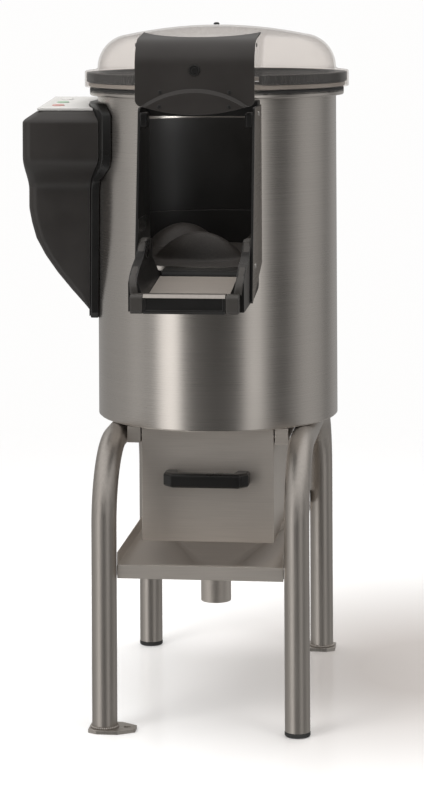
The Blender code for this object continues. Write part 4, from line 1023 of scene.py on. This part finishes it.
def floor_material():
    """Pale and slightly glossy near the machine, with a soft shadow painted into its colour to the right and rear,
    melting into the white background further out.
    """
    material, tree, shader = shader_of("floor_white")
    shader.inputs["Roughness"].default_value = 0.16
    shader.inputs["Specular IOR Level"].default_value = 0.4
    shader.inputs["Emission Color"].default_value = (1, 0.995, 0.99, 1)
    # Painted shadow: a soft oval mask to the right and rear of the machine, where its cast shadow would fall.
    coords = tree.nodes.new("ShaderNodeTexCoord")
    shadow_oval = tree.nodes.new("ShaderNodeMapping")
    shadow_oval.vector_type = "TEXTURE"
    shadow_oval.inputs["Location"].default_value = (0.34, 0.16, 0)
    shadow_oval.inputs["Scale"].default_value = (0.56, 0.80, 1)
    soft = tree.nodes.new("ShaderNodeTexGradient")
    soft.gradient_type = "SPHERICAL"
    tree.links.new(coords.outputs["Object"], shadow_oval.inputs["Vector"])
    tree.links.new(shadow_oval.outputs["Vector"], soft.inputs["Vector"])
    painted_shadow = remap(tree, soft.outputs["Fac"], 0.0, 0.9, 0.0, 0.8)
    # Inside the painted shadow the floor colour turns brown-grey.
    base = mix_colours(tree, painted_shadow, (0.93, 0.925, 0.92), (0.52, 0.47, 0.44))
    tree.links.new(base, shader.inputs["Base Color"])
    # The floor's even glow is dimmed inside the painted shadow.
    tree.links.new(remap(tree, painted_shadow, 0.22, 0.03, 0.0, 1.0), shader.inputs["Emission Strength"])
    length = tree.nodes.new("ShaderNodeVectorMath")
    length.operation = "LENGTH"
    tree.links.new(coords.outputs["Object"], length.inputs[0])
    fade = tree.nodes.new("ShaderNodeMapRange")
    fade.interpolation_type = "SMOOTHSTEP"
    fade.inputs["From Min"].default_value = 0.75
    fade.inputs["From Max"].default_value = 2.6
    tree.links.new(length.outputs["Value"], fade.inputs["Value"])
    clear = tree.nodes.new("ShaderNodeBsdfTransparent")
    mix = tree.nodes.new("ShaderNodeMixShader")
    tree.links.new(fade.outputs["Result"], mix.inputs[0])
    tree.links.new(shader.outputs[0], mix.inputs[1])
    tree.links.new(clear.outputs[0], mix.inputs[2])
    tree.links.new(mix.outputs[0], tree.nodes["Material Output"].inputs["Surface"])
    return material


def make_stage():
    """A round pale floor, its far edge dissolving in the white behind it, and soft lights."""
    bm = bmesh.new()
    bmesh.ops.create_circle(bm, cap_ends=True, segments=96, radius=3.4)
    mesh = bpy.data.meshes.new("floor")
    bm.to_mesh(mesh)
    bm.free()
    floor = bpy.data.objects.new("floor", mesh)
    bpy.context.scene.collection.objects.link(floor)
    floor.location = AXIS - Vector((0, 0, 0.0003))
    mesh.materials.append(floor_material())
    floor.visible_glossy = False
    add_light("key", (-1.9, -2.4, 3.2), (0, 0, 0.6), (1.6, 1.6), 55)
    add_light("fill", (2.4, -2.0, 2.2), (0, 0, 0.6), (1.4, 2.0), 18)
    add_light("top", (0, 0.3, 3.4), (0, 0, 0), (2.4, 2.4), 45)
    for name, height, tall, power in (("liner_glow", 0.83, 0.26, 0.06), ("band_glow", 0.962, 0.02, 0.04)):
        glow = add_light(name, (0.106, 0.019, height), (-0.098, 0.166, height), (0.035, tall), power)
        glow.visible_glossy = True
    under = add_light("tray_glow", (0, -0.02, 0.2755), (0, -0.02, 0.20), (0.22, 0.27), 0.025)
    under.visible_glossy = True


def make_camera():
    data = bpy.data.cameras.new("camera")
    data.sensor_width = 36.0
    data.lens = 112.5
    data.shift_x = -0.0055
    data.shift_y = -0.514
    camera = bpy.data.objects.new("camera", data)
    bpy.context.scene.collection.objects.link(camera)
    distance, height = 4.2, 1.172
    place = (distance * math.sin(CAMERA_TURN), -distance * math.cos(CAMERA_TURN), height)
    camera.location = AXIS + Vector(place)
    tilt = Matrix.Rotation(CAMERA_TURN, 4, "Z") @ Matrix.Rotation(math.radians(90), 4, "X")
    camera.rotation_euler = (tilt @ Matrix.Rotation(math.radians(-0.27), 4, "Z")).to_euler()
    bpy.context.scene.camera = camera

    # The lens is shifted only from this place, so that a camera moved elsewhere keeps the object centred.
    driver = data.driver_add("shift_y").driver
    level = driver.variables.new()
    level.name = "level"
    level.targets[0].id = camera
    level.targets[0].data_path = "location[2]"
    driver.expression = "%g if abs(level - %g) < 0.001 else 0.0" % (data.shift_y, height)


finish_cad_nodes()
make_legs()
make_stand_plates()
make_weld_beads()
make_drawer_looks()
make_drum_looks()
make_disc_looks()
make_door_frame_looks()
make_door_looks()
make_lid_looks()
make_cover_looks()
make_housing_looks()
make_world()
make_stage()
make_camera()
bpy.context.scene.view_settings.view_transform = "Standard"
